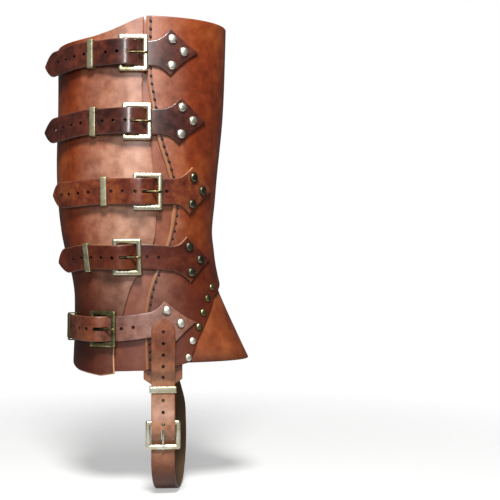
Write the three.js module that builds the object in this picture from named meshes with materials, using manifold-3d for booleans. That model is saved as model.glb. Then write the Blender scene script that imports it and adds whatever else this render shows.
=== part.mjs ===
// Leather greave for the right lower leg: a wrapped leg panel over a gusset, an instep flap,
// five buckled straps with riveted spade ends, and a buckled stirrup strap under the foot.
// Millimetres, +Z up the leg, +X to the shin, -Y to the outer side, origin on the leg's axis
// at the height of the lower rim.

import * as THREE from 'three';
import { mergeVertices } from 'three/addons/utils/BufferGeometryUtils.js';
import Module from 'manifold-3d';

const wasm = await Module();
wasm.setup();

// Driving dimensions of the leg form.
const bodyHeight = 340;
const legBack = 77;
const legFront = 80;
const legSide = 58.6;
const toeFlare = 43.5;

// Leathers.
const underLeather = 2.2;
const panelLeather = 2.5;
const strapLeather = 2.6;
const chapeLeather = 1.8;
const tabLeather = 2.4;
const lapGap = 0.7;
const gap = 0.3;
const strapRoom = 0.45;

// Straps.
const strapWidth = 24;
const chapeWidth = 20;
const tailLength = 13;
const tipWidth = 2;
const holePitch = 11;
const holeWidth = 3.4;
const holeAhead = 18.5;

// Spade ends.
const spadeWidth = 44;
const spadeLength = 28;
const neckLength = 19;
const spadeRivetFromTip = 15.5;
const spadeRivetBack = 11.5;
const spadeRivetSpread = 12.5;

// Buckles.
const buckleWire = 4;
const buckleSpan = 23;
const buckleRoom = 0.9;
const buckleCorner = 3.2;
const prongWidth = 2.4;
const prongOverhang = 2;
const foldReturn = 9;
const foldRoom = 0.2;
const sewnLength = 14;
const sewnLead = 5;
const chapeLead = 1;
const slotRoom = 0.5;
const slotLead = 5.5;
const slotEnd = 5.5;
const keeperWidth = 6;
const keeperMetal = 1.1;
const keeperRoom = 0.5;
const keeperLift = 0.6;

// Rivets.
const rivetHead = 8.8;
const rivetDome = 2.6;
const smallHead = 7;
const smallDome = 2;
const rivetShank = 2.6;
const shankRoom = 0.3;
const shankHole = rivetShank + 2 * shankRoom;
const backHead = 7;
const backHeight = 1.2;
const backRoom = 0.9;
const headRoom = 0.5;

// Stitched seam, gusset laps and stirrup.
const seamMargin = 4;
const gussetLapBack = 24;
const gussetLapFront = 5.5;
const gussetInset = 2;
const stirrupWidth = 22.5;
const stirrupHole = 11;
const stirrupDrop = 116;
const stirrupBuckle = 56;
const stirrupKeeper = 43;
const stirrupTail = 57;
const stirrupTurn = 14;
const stirrupInnerTurn = 11;
const tabWidth = 37;
const tabSewnWidth = 24;
const tabRise = 24;
const tabCover = 11;
const tabShoulder = 3;
const tabWaist = 6;

const holeSides = 6;
const shankHoleSides = 4;
const wireSides = 6;
const prongSides = 5;
const rivetSides = 6;
const degree = Math.PI / 180;
const fullTurn = 360;

// Layers, as distances out from the leg form.
const panelInside = underLeather + lapGap;
const panelFace = panelInside + panelLeather;
const strapBack = panelFace + strapRoom;
const strapFace = strapBack + strapLeather;
const barLevel = strapFace + gap + buckleWire / 2;
const prongLevel = buckleWire / 2 + gap + prongWidth / 2;
const crestBack = barLevel + prongLevel + prongWidth / 2 + gap;
const keeperBack = panelFace + gap + keeperLift;
const chapeBack = keeperBack + keeperMetal + gap;
const billetOnChape = chapeBack + chapeLeather + gap;
const keeperFace = billetOnChape + strapLeather + gap + keeperMetal;
const keeperMiddle = (keeperBack + keeperFace) / 2;
const landing = buckleSpan * 0.54;

// Leg form: shares of the sizes above, from the lower rim to the upper.
const sections = [
  { height: -0.08, back: 0.79, front: 0.86, toe: 1.24, side: 0.82 },
  { height: 0.0, back: 0.79, front: 0.86, toe: 1.0, side: 0.83 },
  { height: 0.06, back: 0.78, front: 0.86, toe: 0.775, side: 0.835 },
  { height: 0.118, back: 0.768, front: 0.86, toe: 0.565, side: 0.84 },
  { height: 0.176, back: 0.767, front: 0.86, toe: 0.36, side: 0.845 },
  { height: 0.235, back: 0.775, front: 0.86, toe: 0.165, side: 0.855 },
  { height: 0.3, back: 0.825, front: 0.868, toe: 0.03, side: 0.865 },
  { height: 0.35, back: 0.885, front: 0.856, toe: 0.0, side: 0.89 },
  { height: 0.41, back: 0.938, front: 0.833, toe: 0.0, side: 0.93 },
  { height: 0.5, back: 0.985, front: 0.87, toe: 0.0, side: 0.975 },
  { height: 0.6, back: 1.0, front: 0.905, toe: 0.0, side: 1.0 },
  { height: 0.75, back: 0.985, front: 0.965, toe: 0.0, side: 1.0 },
  { height: 0.9, back: 0.98, front: 0.995, toe: 0.0, side: 0.99 },
  { height: 1.03, back: 0.98, front: 1.01, toe: 0.0, side: 0.985 },
];

// Closure on the outer side: degrees round the leg of the calf edge and of the seam.
const closure = [
  { height: 0.0, calf: -16.7, seam: 8.0 },
  { height: 0.085, calf: -17.1, seam: 8.5 },
  { height: 0.13, calf: -13.0, seam: 8.9 },
  { height: 0.19, calf: -8.0, seam: 10.4 },
  { height: 0.235, calf: -4.0, seam: 13.1 },
  { height: 0.276, calf: 1.6, seam: 17.1 },
  { height: 0.326, calf: 9.2, seam: 23.9 },
  { height: 0.375, calf: 15.5, seam: 29.5 },
  { height: 0.42, calf: 17.6, seam: 33.2 },
  { height: 0.5, calf: 17.4, seam: 34.0 },
  { height: 0.576, calf: 14.8, seam: 28.3 },
  { height: 0.66, calf: 12.2, seam: 20.4 },
  { height: 0.77, calf: 6.8, seam: 14.5 },
  { height: 0.84, calf: 6.7, seam: 11.9 },
  { height: 1.0, calf: 7.2, seam: 11.5 },
];

// Rims of the leg panel, from the calf edge back round the leg to the seam.
const rims = [
  { turn: 20, top: 1.0, bottom: 0.01 },
  { turn: 8, top: 0.998, bottom: 0.01 },
  { turn: -9, top: 0.97, bottom: 0.008 },
  { turn: -17, top: 0.958, bottom: 0.007 },
  { turn: -30, top: 0.946, bottom: 0.0 },
  { turn: -60, top: 0.938, bottom: 0.01 },
  { turn: -90, top: 0.935, bottom: 0.032 },
  { turn: -140, top: 0.945, bottom: 0.012 },
  { turn: -180, top: 0.965, bottom: 0.018 },
  { turn: -209, top: 0.984, bottom: 0.038 },
  { turn: -218, top: 0.989, bottom: 0.106 },
  { turn: -227.5, top: 0.993, bottom: 0.156 },
  { turn: -240.5, top: 0.998, bottom: 0.216 },
  { turn: -270, top: 1.0, bottom: 0.262 },
  { turn: -299.5, top: 1.0, bottom: 0.216 },
  { turn: -312.5, top: 1.0, bottom: 0.156 },
  { turn: -322, top: 1.0, bottom: 0.106 },
  { turn: -331, top: 1.0, bottom: 0.038 },
  { turn: -340, top: 1.0, bottom: 0.026 },
  { turn: -357, top: 1.0, bottom: 0.018 },
];

// Upper edge of the instep flap, each way from the shin's midline.
const flapEdge = [
  { turn: 0, top: 0.305 },
  { turn: 29.5, top: 0.262 },
  { turn: 42.5, top: 0.215 },
  { turn: 52, top: 0.158 },
  { turn: 60.6, top: 0.112 },
  { turn: 68, top: 0.07 },
];
const flapBottom = 0.036;

// Rivets along the flap's lap, each way from the shin's midline.
const lapRivets = [
  { turn: 25.2, height: 0.243 },
  { turn: 34.4, height: 0.212 },
  { turn: 43, height: 0.174 },
  { turn: 49.7, height: 0.135 },
  { turn: 56.5, height: 0.097 },
  { turn: 61.3, height: 0.051 },
];

// Straps from the top: shares of body height at the buckle, and of the rise and droop of the ends;
// degrees round the leg of the buckle, of the spade's tip and of where the tail leaves the leg;
// shares of strap width to the keeper, of the free tail and to the first hole behind the buckle;
// holes ahead of the buckle; and how many lines of points run along the billet.
const straps = [
  {
    height: 0.894, rise: 0.011, droop: -0.012, lines: 2,
    buckle: 0.7, spade: 44.5, leave: -46, keeper: 1.67, free: 1.46, first: 0.56, holes: 0,
  },
  {
    height: 0.706, rise: 0.009, droop: -0.012, lines: 2,
    buckle: 3.2, spade: 53.5, leave: -43, keeper: 1.71, free: 1.54, first: 0.4, holes: 0,
  },
  {
    height: 0.516, rise: 0.007, droop: -0.006, lines: 2,
    buckle: 10.6, spade: 68, leave: -55, keeper: 1.67, free: 0.6, first: 0.46, holes: 1,
  },
  {
    height: 0.337, rise: -0.011, droop: -0.014, lines: 3,
    buckle: -4.2, spade: 67, leave: -46, keeper: 1.62, free: 1.12, first: 0.5, holes: 2,
  },
  {
    height: 0.134, rise: 0.014, droop: -0.006, lines: 2,
    buckle: -25.8, spade: 38.2, leave: -104, keeper: 1.87, free: 0, first: 0.52, holes: 2,
  },
];
const endsRun = 60;
const droopRun = 45;

// Billet where it passes its buckle: shares of the buckle's span, and of the climb from the chape
// to the crest or of the fall from the crest to the panel.
const climbRows = [
  { along: -1.07, climb: 0.37 },
  { along: -0.72, climb: 0.83 },
  { along: -0.46, climb: 1 },
];
const fallRows = [
  { along: -0.2, fall: 0.03 },
  { along: 0.08, fall: 0.41 },
  { along: 0.24, fall: 0.81 },
  { along: 0.37, fall: 1 },
];

// Far side of the stirrup strap: shares of its drop, of its way across
// the leg, of the strap's width to one side, and of its twist to the inner wall.
const stirrupRoute = [
  { drop: 0.66, across: 0.0, shift: 0.0, twist: 0.0 },
  { drop: 0.76, across: 0.02, shift: 0.0, twist: 0.0 },
  { drop: 0.86, across: 0.1, shift: 0.03, twist: 0.0 },
  { drop: 0.94, across: 0.22, shift: 0.08, twist: 0.0 },
  { drop: 0.985, across: 0.36, shift: 0.15, twist: 0.1 },
  { drop: 0.99, across: 0.52, shift: 0.22, twist: 0.2 },
  { drop: 0.96, across: 0.67, shift: 0.3, twist: 0.3 },
  { drop: 0.88, across: 0.8, shift: 0.36, twist: 0.45 },
  { drop: 0.76, across: 0.89, shift: 0.41, twist: 0.6 },
  { drop: 0.62, across: 0.935, shift: 0.43, twist: 0.7 },
  { drop: 0.48, across: 0.96, shift: 0.42, twist: 0.8 },
  { drop: 0.34, across: 0.98, shift: 0.38, twist: 0.9 },
  { drop: 0.22, across: 0.99, shift: 0.24, twist: 1.0 },
  { drop: 0.1, across: 1.0, shift: 0.08, twist: 1.0 },
  { drop: -0.04, across: 1.0, shift: 0.0, twist: 1.0 },
  { drop: -0.2, across: 1.0, shift: 0.0, twist: 1.0 },
];

// Value of one column of a table, eased between its rows.
function read(table, key, column, at) {
  const rows = table[0][key] < table[1][key] ? table : [...table].reverse();
  const last = rows.length - 1;
  const held = Math.min(Math.max(at, rows[0][key]), rows[last][key]);
  let low = 0;
  while (low < last - 1 && held > rows[low + 1][key]) low += 1;
  const slope = (index) => {
    const before = rows[Math.max(index - 1, 0)];
    const after = rows[Math.min(index + 1, last)];
    return (after[column] - before[column]) / (after[key] - before[key]);
  };
  const span = rows[low + 1][key] - rows[low][key];
  const t = (held - rows[low][key]) / span;
  const rise = t * t * (3 - 2 * t);
  const leave = t * (1 - t) * (1 - t) * span * slope(low);
  const arrive = -t * t * (1 - t) * span * slope(low + 1);
  return rows[low][column] * (1 - rise) + rows[low + 1][column] * rise + leave + arrive;
}

// Value of one column of a table, straight between its rows.
function readStraight(table, key, column, at) {
  const rows = table[0][key] < table[1][key] ? table : [...table].reverse();
  const last = rows.length - 1;
  const held = Math.min(Math.max(at, rows[0][key]), rows[last][key]);
  let low = 0;
  while (low < last - 1 && held > rows[low + 1][key]) low += 1;
  const t = (held - rows[low][key]) / (rows[low + 1][key] - rows[low][key]);
  return THREE.MathUtils.lerp(rows[low][column], rows[low + 1][column], t);
}

function formPoint(turn, z) {
  const share = z / bodyHeight;
  const angle = turn * degree;
  const front = legFront * read(sections, 'height', 'front', share)
    + toeFlare * read(sections, 'height', 'toe', share);
  const back = legBack * read(sections, 'height', 'back', share);
  const side = legSide * read(sections, 'height', 'side', share);
  const reach = Math.sin(angle) > 0 ? front : back;
  return new THREE.Vector3(reach * Math.sin(angle), -side * Math.cos(angle), z);
}

// Point at a distance out from the leg form.
function wrap(turn, z, out) {
  const small = 0.05;
  const around = formPoint(turn + small, z).sub(formPoint(turn - small, z));
  const up = formPoint(turn, z + small).sub(formPoint(turn, z - small));
  const normal = around.cross(up).normalize();
  return formPoint(turn, z).addScaledVector(normal, out);
}

function lengthPerDegree(turn, z, out) {
  return wrap(turn + 0.5, z, out).distanceTo(wrap(turn - 0.5, z, out));
}

function seamTurn(z) {
  return read(closure, 'height', 'seam', z / bodyHeight);
}

function calfTurn(z) {
  return read(closure, 'height', 'calf', z / bodyHeight);
}

function shinTurn(z) {
  const seam = seamTurn(z);
  return seam - seamMargin / lengthPerDegree(seam, z, panelFace);
}

// Closed solid between two grids of points with the same rows and columns.
function slab(face, back) {
  const rows = face.length;
  const columns = face[0].length;
  const points = [];
  for (const grid of [face, back]) {
    for (const row of grid) {
      for (const point of row) points.push(point.x, point.y, point.z);
    }
  }
  const layer = rows * columns;
  const triangles = [];
  const quad = (a, b, c, d) => triangles.push(a, b, c, a, c, d);
  for (let i = 0; i < rows - 1; i += 1) {
    for (let j = 0; j < columns - 1; j += 1) {
      const a = i * columns + j;
      const b = a + columns;
      quad(a, b, b + 1, a + 1);
      quad(layer + a, layer + a + 1, layer + b + 1, layer + b);
    }
  }
  const rim = [];
  for (let j = 0; j < columns; j += 1) rim.push(j);
  for (let i = 1; i < rows; i += 1) rim.push(i * columns + columns - 1);
  for (let j = columns - 2; j >= 0; j -= 1) rim.push((rows - 1) * columns + j);
  for (let i = rows - 2; i > 0; i -= 1) rim.push(i * columns);
  rim.forEach((here, index) => {
    const next = rim[(index + 1) % rim.length];
    quad(here, next, layer + next, layer + here);
  });
  return outward(points, triangles);
}

// Solid swept by rings of points; a closed path joins its last ring to its first.
function skin(rings, closed) {
  const count = rings.length;
  const sides = rings[0].length;
  const points = rings.flat().flatMap((point) => [point.x, point.y, point.z]);
  const triangles = [];
  const steps = closed ? count : count - 1;
  for (let i = 0; i < steps; i += 1) {
    for (let j = 0; j < sides; j += 1) {
      const a = i * sides + j;
      const b = i * sides + (j + 1) % sides;
      const c = ((i + 1) % count) * sides + (j + 1) % sides;
      const d = ((i + 1) % count) * sides + j;
      triangles.push(a, b, c, a, c, d);
    }
  }
  if (!closed) {
    const end = (count - 1) * sides;
    for (let j = 1; j < sides - 1; j += 1) {
      triangles.push(0, j + 1, j, end, end + j, end + j + 1);
    }
  }
  return outward(points, triangles);
}

// Indexed geometry whose faces point out of the solid.
function outward(points, triangles) {
  const a = new THREE.Vector3();
  const b = new THREE.Vector3();
  const c = new THREE.Vector3();
  let volume = 0;
  for (let i = 0; i < triangles.length; i += 3) {
    a.fromArray(points, triangles[i] * 3);
    b.fromArray(points, triangles[i + 1] * 3);
    c.fromArray(points, triangles[i + 2] * 3);
    volume += a.dot(b.cross(c));
  }
  const geometry = new THREE.BufferGeometry();
  geometry.setAttribute('position', new THREE.Float32BufferAttribute(points, 3));
  geometry.setIndex(volume > 0 ? triangles : [...triangles].reverse());
  return geometry;
}

function solidOf(geometry) {
  const bare = geometry.clone();
  bare.deleteAttribute('normal');
  bare.deleteAttribute('uv');
  const merged = mergeVertices(bare, 1e-4);
  return new wasm.Manifold(new wasm.Mesh({
    numProp: 3,
    vertProperties: new Float32Array(merged.getAttribute('position').array),
    triVerts: new Uint32Array(merged.getIndex().array),
  }));
}

function geometryOf(solid) {
  const mesh = solid.getMesh();
  const geometry = new THREE.BufferGeometry();
  geometry.setAttribute('position', new THREE.Float32BufferAttribute(mesh.vertProperties, 3));
  geometry.setIndex([...mesh.triVerts]);
  return geometry;
}

function cut(geometry, cutters) {
  let solid = solidOf(geometry);
  for (const cutter of cutters) solid = solid.subtract(solidOf(cutter));
  return geometryOf(solid);
}

// Right-handed set of axes at a point: along, across and out.
function frameAt(at, along, across) {
  const x = along.clone().normalize();
  const z = x.clone().cross(across).normalize();
  const y = z.clone().cross(x);
  const matrix = new THREE.Matrix4().makeBasis(x, y, z).setPosition(at);
  return { at, matrix };
}

// Round hole through a leather, centred on a frame and as deep each way as asked.
function holeCutter(frame, width, depth, sides) {
  const radius = width / 2 / Math.cos(180 / sides * degree);
  const cylinder = new THREE.CylinderGeometry(radius, radius, depth * 2, sides);
  return cylinder.rotateX(90 * degree).applyMatrix4(frame.matrix);
}

function boxCutter(frame, low, high) {
  const box = new THREE.BoxGeometry(high[0] - low[0], high[1] - low[1], high[2] - low[2]);
  box.translate((low[0] + high[0]) / 2, (low[1] + high[1]) / 2, (low[2] + high[2]) / 2);
  return box.applyMatrix4(frame.matrix);
}

const leatherColours = {
  panel: 0xa8623f,
  gusset: 0x97553a,
  flap: 0xa45c38,
  darkStrap: 0x55302a,
  strap: 0x7a4232,
  stirrup: 0x8a5036,
};

function leather(colour) {
  return new THREE.MeshStandardMaterial({ color: colour, roughness: 0.5, metalness: 0 });
}

const buckleMetal = new THREE.MeshStandardMaterial({ color: 0xc9c4a0, roughness: 0.3, metalness: 1 });
const rivetMetal = new THREE.MeshStandardMaterial({ color: 0xb9b6a4, roughness: 0.28, metalness: 1 });

const greave = new THREE.Group();

function add(name, geometry, material, frame) {
  const mesh = new THREE.Mesh(geometry, material);
  mesh.name = name;
  if (frame) {
    mesh.position.setFromMatrixPosition(frame.matrix);
    mesh.quaternion.setFromRotationMatrix(frame.matrix);
  }
  greave.add(mesh);
}

// Leg surface frame at a place: along runs towards the shin, across runs up the leg.
function legFrame(turn, z, out) {
  const along = wrap(turn + 0.5, z, out).sub(wrap(turn - 0.5, z, out));
  const across = wrap(turn, z + 1, out).sub(wrap(turn, z - 1, out));
  return frameAt(wrap(turn, z, out), along, across);
}

// Evenly spaced values from one end to the other, no step wider than asked.
function steps(from, to, widest) {
  const count = Math.max(1, Math.ceil(Math.abs(to - from) / widest - 1e-6));
  return Array.from({ length: count + 1 }, (unused, i) => from + (to - from) * i / count);
}

// Rivet: a dome over the leathers, a shank through them and a plain head behind.
function rivetGeometry(head, dome, grip) {
  const base = grip;
  const profile = [
    [0, -backHeight],
    [backHead / 2 * head / rivetHead, 0],
    [rivetShank / 2, 0],
    [rivetShank / 2, base],
    [head / 2, base],
    [head / 2 * 0.82, base + dome * 0.62],
    [0, base + dome],
  ].map(([x, y]) => new THREE.Vector2(x, y));
  const lathe = new THREE.LatheGeometry(profile, rivetSides).rotateX(90 * degree);
  lathe.deleteAttribute('normal');
  lathe.deleteAttribute('uv');
  const welded = mergeVertices(lathe, 1e-4);
  return outward([...welded.getAttribute('position').array], dropSlivers(welded));
}

// Triangles of a welded lathe without those that close to a line at its poles.
function dropSlivers(geometry) {
  const index = geometry.getIndex().array;
  const kept = [];
  for (let i = 0; i < index.length; i += 3) {
    const [a, b, c] = [index[i], index[i + 1], index[i + 2]];
    if (a !== b && b !== c && c !== a) kept.push(a, b, c);
  }
  return kept;
}

// Strap mapping: distance along the leg from the buckle's centre, across, and out. Past the place
// where the tail leaves the leg it runs straight on.
function strapMap(row) {
  const z = bodyHeight * row.height;
  const keeper = strapWidth * row.keeper;
  const reach = Math.ceil(legBack + legFront);
  const forward = [row.buckle];
  const backward = [row.buckle];
  for (let i = 0; i < reach; i += 1) {
    const level = i < buckleSpan / 2 + buckleWire ? barLevel : strapBack;
    forward.push(forward[i] + 1 / lengthPerDegree(forward[i], z, level));
    backward.push(backward[i] - 1 / lengthPerDegree(backward[i], z, level));
  }
  const turnAt = (along) => {
    const list = along > 0 ? forward : backward;
    const far = Math.min(Math.abs(along), reach - 1);
    const low = Math.floor(far);
    return THREE.MathUtils.lerp(list[low], list[low + 1], far - low);
  };
  const distanceTo = (turn) => {
    const list = turn > row.buckle ? forward : backward;
    let i = 0;
    while (i < reach && Math.abs(list[i] - row.buckle) < Math.abs(turn - row.buckle)) i += 1;
    return turn > row.buckle ? i : -i;
  };
  const ease = THREE.MathUtils.smoothstep;
  const heightAt = (along) => z
    + bodyHeight * row.rise * ease(along, buckleSpan / 2, endsRun)
    + bodyHeight * row.droop * ease(-along, keeper, keeper + droopRun);
  const onLeg = (along, across, out) => wrap(turnAt(along), heightAt(along) + across, out);
  const leaveAt = distanceTo(row.leave);
  const away = onLeg(leaveAt, 0, strapFace).sub(onLeg(leaveAt + 1, 0, strapFace)).normalize();
  const point = (along, across, out) => (along >= leaveAt
    ? onLeg(along, across, out)
    : onLeg(leaveAt, across, out).addScaledVector(away, leaveAt - along));
  const frame = (along, across, out) => frameAt(
    point(along, across, out),
    point(along + 1, across, out).sub(point(along - 1, across, out)),
    point(along, across + 1, out).sub(point(along, across - 1, out)),
  );
  const tailTip = leaveAt - strapWidth * row.free;
  return { point, distanceTo, frame, keeper, tailTip };
}

// Frame of a buckle, whose two bars rest at the same level on the strap's mapping.
function buckleFrame(map) {
  const left = map.point(-buckleSpan / 2, 0, barLevel);
  const right = map.point(buckleSpan / 2, 0, barLevel);
  const along = right.clone().sub(left).normalize();
  const up = map.point(0, 1, barLevel).sub(map.point(0, -1, barLevel));
  const centre = left.clone().add(right).multiplyScalar(0.5);
  return frameAt(centre, along, up);
}

function buckleGeometry(width) {
  const halfAlong = buckleSpan / 2;
  const halfAcross = width / 2 + buckleRoom + buckleWire / 2;
  const corners = [[1, 1], [-1, 1], [-1, -1], [1, -1]];
  const rings = [];
  corners.forEach(([signX, signY], corner) => {
    for (const step of [0.12, 0.88]) {
      const angle = (corner + step) * 90 * degree;
      const centre = new THREE.Vector3(
        signX * (halfAlong - buckleCorner),
        signY * (halfAcross - buckleCorner),
        0,
      );
      const radial = new THREE.Vector3(Math.cos(angle), Math.sin(angle), 0);
      rings.push(ringAt(centre.addScaledVector(radial, buckleCorner), radial, buckleWire / 2, wireSides));
    }
  });
  return skin(rings, true);
}

// Ring of points round a place, in the plane of one direction and the local Z axis.
function ringAt(centre, radial, radius, sides) {
  return Array.from({ length: sides }, (unused, i) => {
    const angle = (i + 0.5) * fullTurn / sides * degree;
    return centre.clone()
      .addScaledVector(radial, radius * Math.cos(angle))
      .add(new THREE.Vector3(0, 0, radius * Math.sin(angle)));
  });
}

// Prong: an eye round the inner bar and a stem that rests on the outer bar.
function prongGeometry() {
  const eye = [-10, -55, -100, -145, -190, -230].map((angle) => [
    -buckleSpan / 2 + prongLevel * Math.cos(angle * degree),
    prongLevel * Math.sin(angle * degree),
    prongWidth / 2,
  ]);
  const stem = [
    [-buckleSpan / 2, prongLevel, prongWidth / 2],
    [buckleSpan * 0.1, prongLevel, prongWidth / 2],
    [buckleSpan / 2 + prongOverhang * 0.3, prongLevel, prongWidth / 2 * 0.9],
    [buckleSpan / 2 + prongOverhang, prongLevel - buckleWire * 0.1, prongWidth / 2 * 0.5],
  ];
  const path = [...eye, ...stem];
  const rings = path.map(([x, z, radius], i) => {
    const before = path[Math.max(i - 1, 0)];
    const after = path[Math.min(i + 1, path.length - 1)];
    const along = new THREE.Vector2(after[0] - before[0], after[1] - before[1]).normalize();
    return Array.from({ length: prongSides }, (unused, k) => {
      const angle = (k + 0.5) * fullTurn / prongSides * degree;
      const side = radius * Math.cos(angle);
      const rise = radius * Math.sin(angle);
      return new THREE.Vector3(x - along.y * rise, side, z + along.x * rise);
    });
  });
  return skin(rings, false);
}

function keeperGeometry(width) {
  const half = width / 2 + keeperRoom;
  const rise = keeperFace - keeperMiddle - keeperMetal;
  const outline = (grow) => [
    [half + grow, rise + grow],
    [-half - grow, rise + grow],
    [-half - grow, -rise - grow],
    [half + grow, -rise - grow],
  ];
  const ends = (grow, x) => outline(grow).map(([y, z]) => new THREE.Vector3(x, y, z));
  const outerBack = ends(keeperMetal, -keeperWidth / 2);
  const outerFront = ends(keeperMetal, keeperWidth / 2);
  const innerBack = ends(0, -keeperWidth / 2);
  const innerFront = ends(0, keeperWidth / 2);
  const rings = [0, 1, 2, 3].map((i) => [outerBack[i], outerFront[i], innerFront[i], innerBack[i]]);
  return skin(rings, true);
}

// Eased path through a few places: [along, level] pairs, sampled no wider than asked.
function easedPath(places, widest) {
  const curve = new THREE.CatmullRomCurve3(
    places.map(([along, level]) => new THREE.Vector3(along, level, 0)), false, 'centripetal');
  const count = Math.ceil(curve.getLength() / widest);
  return curve.getSpacedPoints(count).map((point) => [point.x, point.y]);
}

// Leather band that follows a path of [along, level] pairs on a mapping.
function band(path, thickness, halfWidthAt, point, lines = 2) {
  const face = [];
  const back = [];
  path.forEach(([along, level], i) => {
    const before = path[Math.max(i - 1, 0)];
    const after = path[Math.min(i + 1, path.length - 1)];
    const way = new THREE.Vector2(after[0] - before[0], after[1] - before[1]).normalize();
    const half = halfWidthAt(along);
    const side = (sign) => steps(-half, half, half * 2 / (lines - 1)).map((across) => point(
      along - way.y * sign * thickness / 2,
      across,
      level + way.x * sign * thickness / 2,
    ));
    face.push(side(1));
    back.push(side(-1));
  });
  return slab(face, back);
}

// Half width of a strap's pointed tail, by distance from its tip.
function tailHalfWidth(fromTip, width) {
  const t = Math.min(fromTip / tailLength, 1);
  return Math.max(width / 2 * Math.sin(t * 90 * degree) ** 0.85, tipWidth / 2);
}

// Half width of a spade end, by distance from its tip.
function spadeHalfWidth(fromTip) {
  const t = fromTip / spadeLength;
  if (t <= 1) return Math.max(spadeWidth / 2 * (0.72 * t + 0.28 * t * t), tipWidth / 2);
  const neck = Math.min((fromTip - spadeLength) / neckLength, 1);
  return strapWidth / 2 + (spadeWidth - strapWidth) / 2 * (1 - neck) ** 2.2;
}

// Levels of a billet's middle where it passes its keeper and buckle.
function billetPlaces(keeper) {
  const flat = strapBack + strapLeather / 2;
  const crest = crestBack + strapLeather / 2;
  const onChape = billetOnChape + strapLeather / 2;
  return [
    [-keeper - keeperWidth, onChape + foldRoom],
    [-keeper + keeperWidth, onChape],
    ...climbRows.map((row) => [buckleSpan * row.along, THREE.MathUtils.lerp(onChape, crest, row.climb)]),
    ...fallRows.map((row) => [buckleSpan * row.along, THREE.MathUtils.lerp(crest, flat, row.fall)]),
    [landing, flat],
  ];
}

// Chape: from its sewn end, through the keeper, round the buckle's inner bar and back.
function chapePlaces(keeper, sewnEnd, sewnLevel) {
  const bar = -buckleSpan / 2;
  const turnRadius = buckleWire / 2 + gap + foldRoom + chapeLeather / 2;
  const level = chapeBack + chapeLeather / 2;
  const under = barLevel - turnRadius;
  const fold = [-90, -45, 0, 45, 90].map((angle) => [
    bar + turnRadius * Math.cos(angle * degree),
    barLevel + turnRadius * Math.sin(angle * degree),
  ]);
  return [
    [sewnEnd, sewnLevel],
    [sewnEnd + sewnLead, sewnLevel],
    [-keeper - keeperWidth / 2 - chapeLead, level],
    [-keeper + keeperWidth / 2 + chapeLead, level],
    [bar - foldReturn - buckleWire / 2, level],
    [bar - foldReturn / 2, under],
    ...fold,
    [bar - foldReturn / 2, barLevel + turnRadius - buckleWire * 0.125],
    [bar - foldReturn, barLevel + turnRadius - buckleWire * 0.625],
  ];
}

// Slot for a prong: through a billet's crest, or through a chape round the prong's eye.
function slotCutter(frame, low, high) {
  const half = prongWidth / 2 + slotRoom;
  return boxCutter(frame, [low, -half, -buckleWire * 2], [high, half, buckleWire * 2.4]);
}

function billetSlot(frame) {
  return slotCutter(frame, -buckleSpan / 2 + slotLead, slotEnd);
}

function chapeSlot(frame) {
  const half = prongLevel + prongWidth / 2 + gap;
  return slotCutter(frame, -buckleSpan / 2 - half, -buckleSpan / 2 + half + buckleWire / 2);
}

function addBuckle(label, map, keeper, width) {
  const frame = buckleFrame(map);
  add(`${label}_buckle`, buckleGeometry(width), buckleMetal, frame);
  add(`${label}_prong`, prongGeometry(), buckleMetal, frame);
  add(`${label}_keeper`, keeperGeometry(width), buckleMetal, map.frame(-keeper, 0, keeperMiddle));
  return frame;
}

// Level of a path at a place along it.
function levelOn(path, along) {
  return path.reduce((best, here) => (
    Math.abs(here[0] - along) < Math.abs(best[0] - along) ? here : best))[1];
}

function strapHole(map, path, along) {
  return holeCutter(map.frame(along, 0, levelOn(path, along)), holeWidth, strapLeather, holeSides);
}

// Holes of a strap's tail, from the buckle out, clear of the keeper.
function tailHoles(map, path, keeper, first, end) {
  const cutters = [];
  for (let along = -first; along > end; along -= holePitch) {
    const clear = Math.abs(along + keeper) > (keeperWidth + holeWidth) / 2;
    if (clear) cutters.push(strapHole(map, path, along));
  }
  return cutters;
}

// Leg panel.
const panelTurn = 9.5;
const panelRows = 11;
const rowCrowding = 1.12;
const panelCutters = [];

function panelGeometry() {
  const turns = [];
  const start = calfTurn(0);
  const end = shinTurn(0) - fullTurn;
  const inner = rims.map((row) => row.turn).filter((turn) => turn < start && turn > end);
  const stops = [start, ...inner, end];
  for (let i = 0; i < stops.length - 1; i += 1) {
    const part = steps(stops[i], stops[i + 1], panelTurn);
    turns.push(...(i ? part.slice(1) : part));
  }
  const face = [];
  const back = [];
  turns.forEach((turn) => {
    const bottom = bodyHeight * readStraight(rims, 'turn', 'bottom', turn);
    const share = (turn - calfTurn(bottom)) / (shinTurn(bottom) - fullTurn - calfTurn(bottom));
    const place = Math.min(Math.max(share, 0), 1);
    const turnAt = (z) => THREE.MathUtils.lerp(calfTurn(z), shinTurn(z) - fullTurn, place);
    const top = bodyHeight * readStraight(rims, 'turn', 'top', turnAt(bodyHeight));
    const heights = steps(0, 1, 1 / panelRows).map((t) => bottom + (top - bottom) * t ** rowCrowding);
    face.push(heights.map((z) => wrap(turnAt(z), z, panelFace)));
    back.push(heights.map((z) => wrap(turnAt(z), z, panelInside)));
  });
  return slab(face, back);
}

// Gusset under both edges of the closure, a little inside the rims.
const gussetRows = 18;
const gussetColumns = 5;

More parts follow.
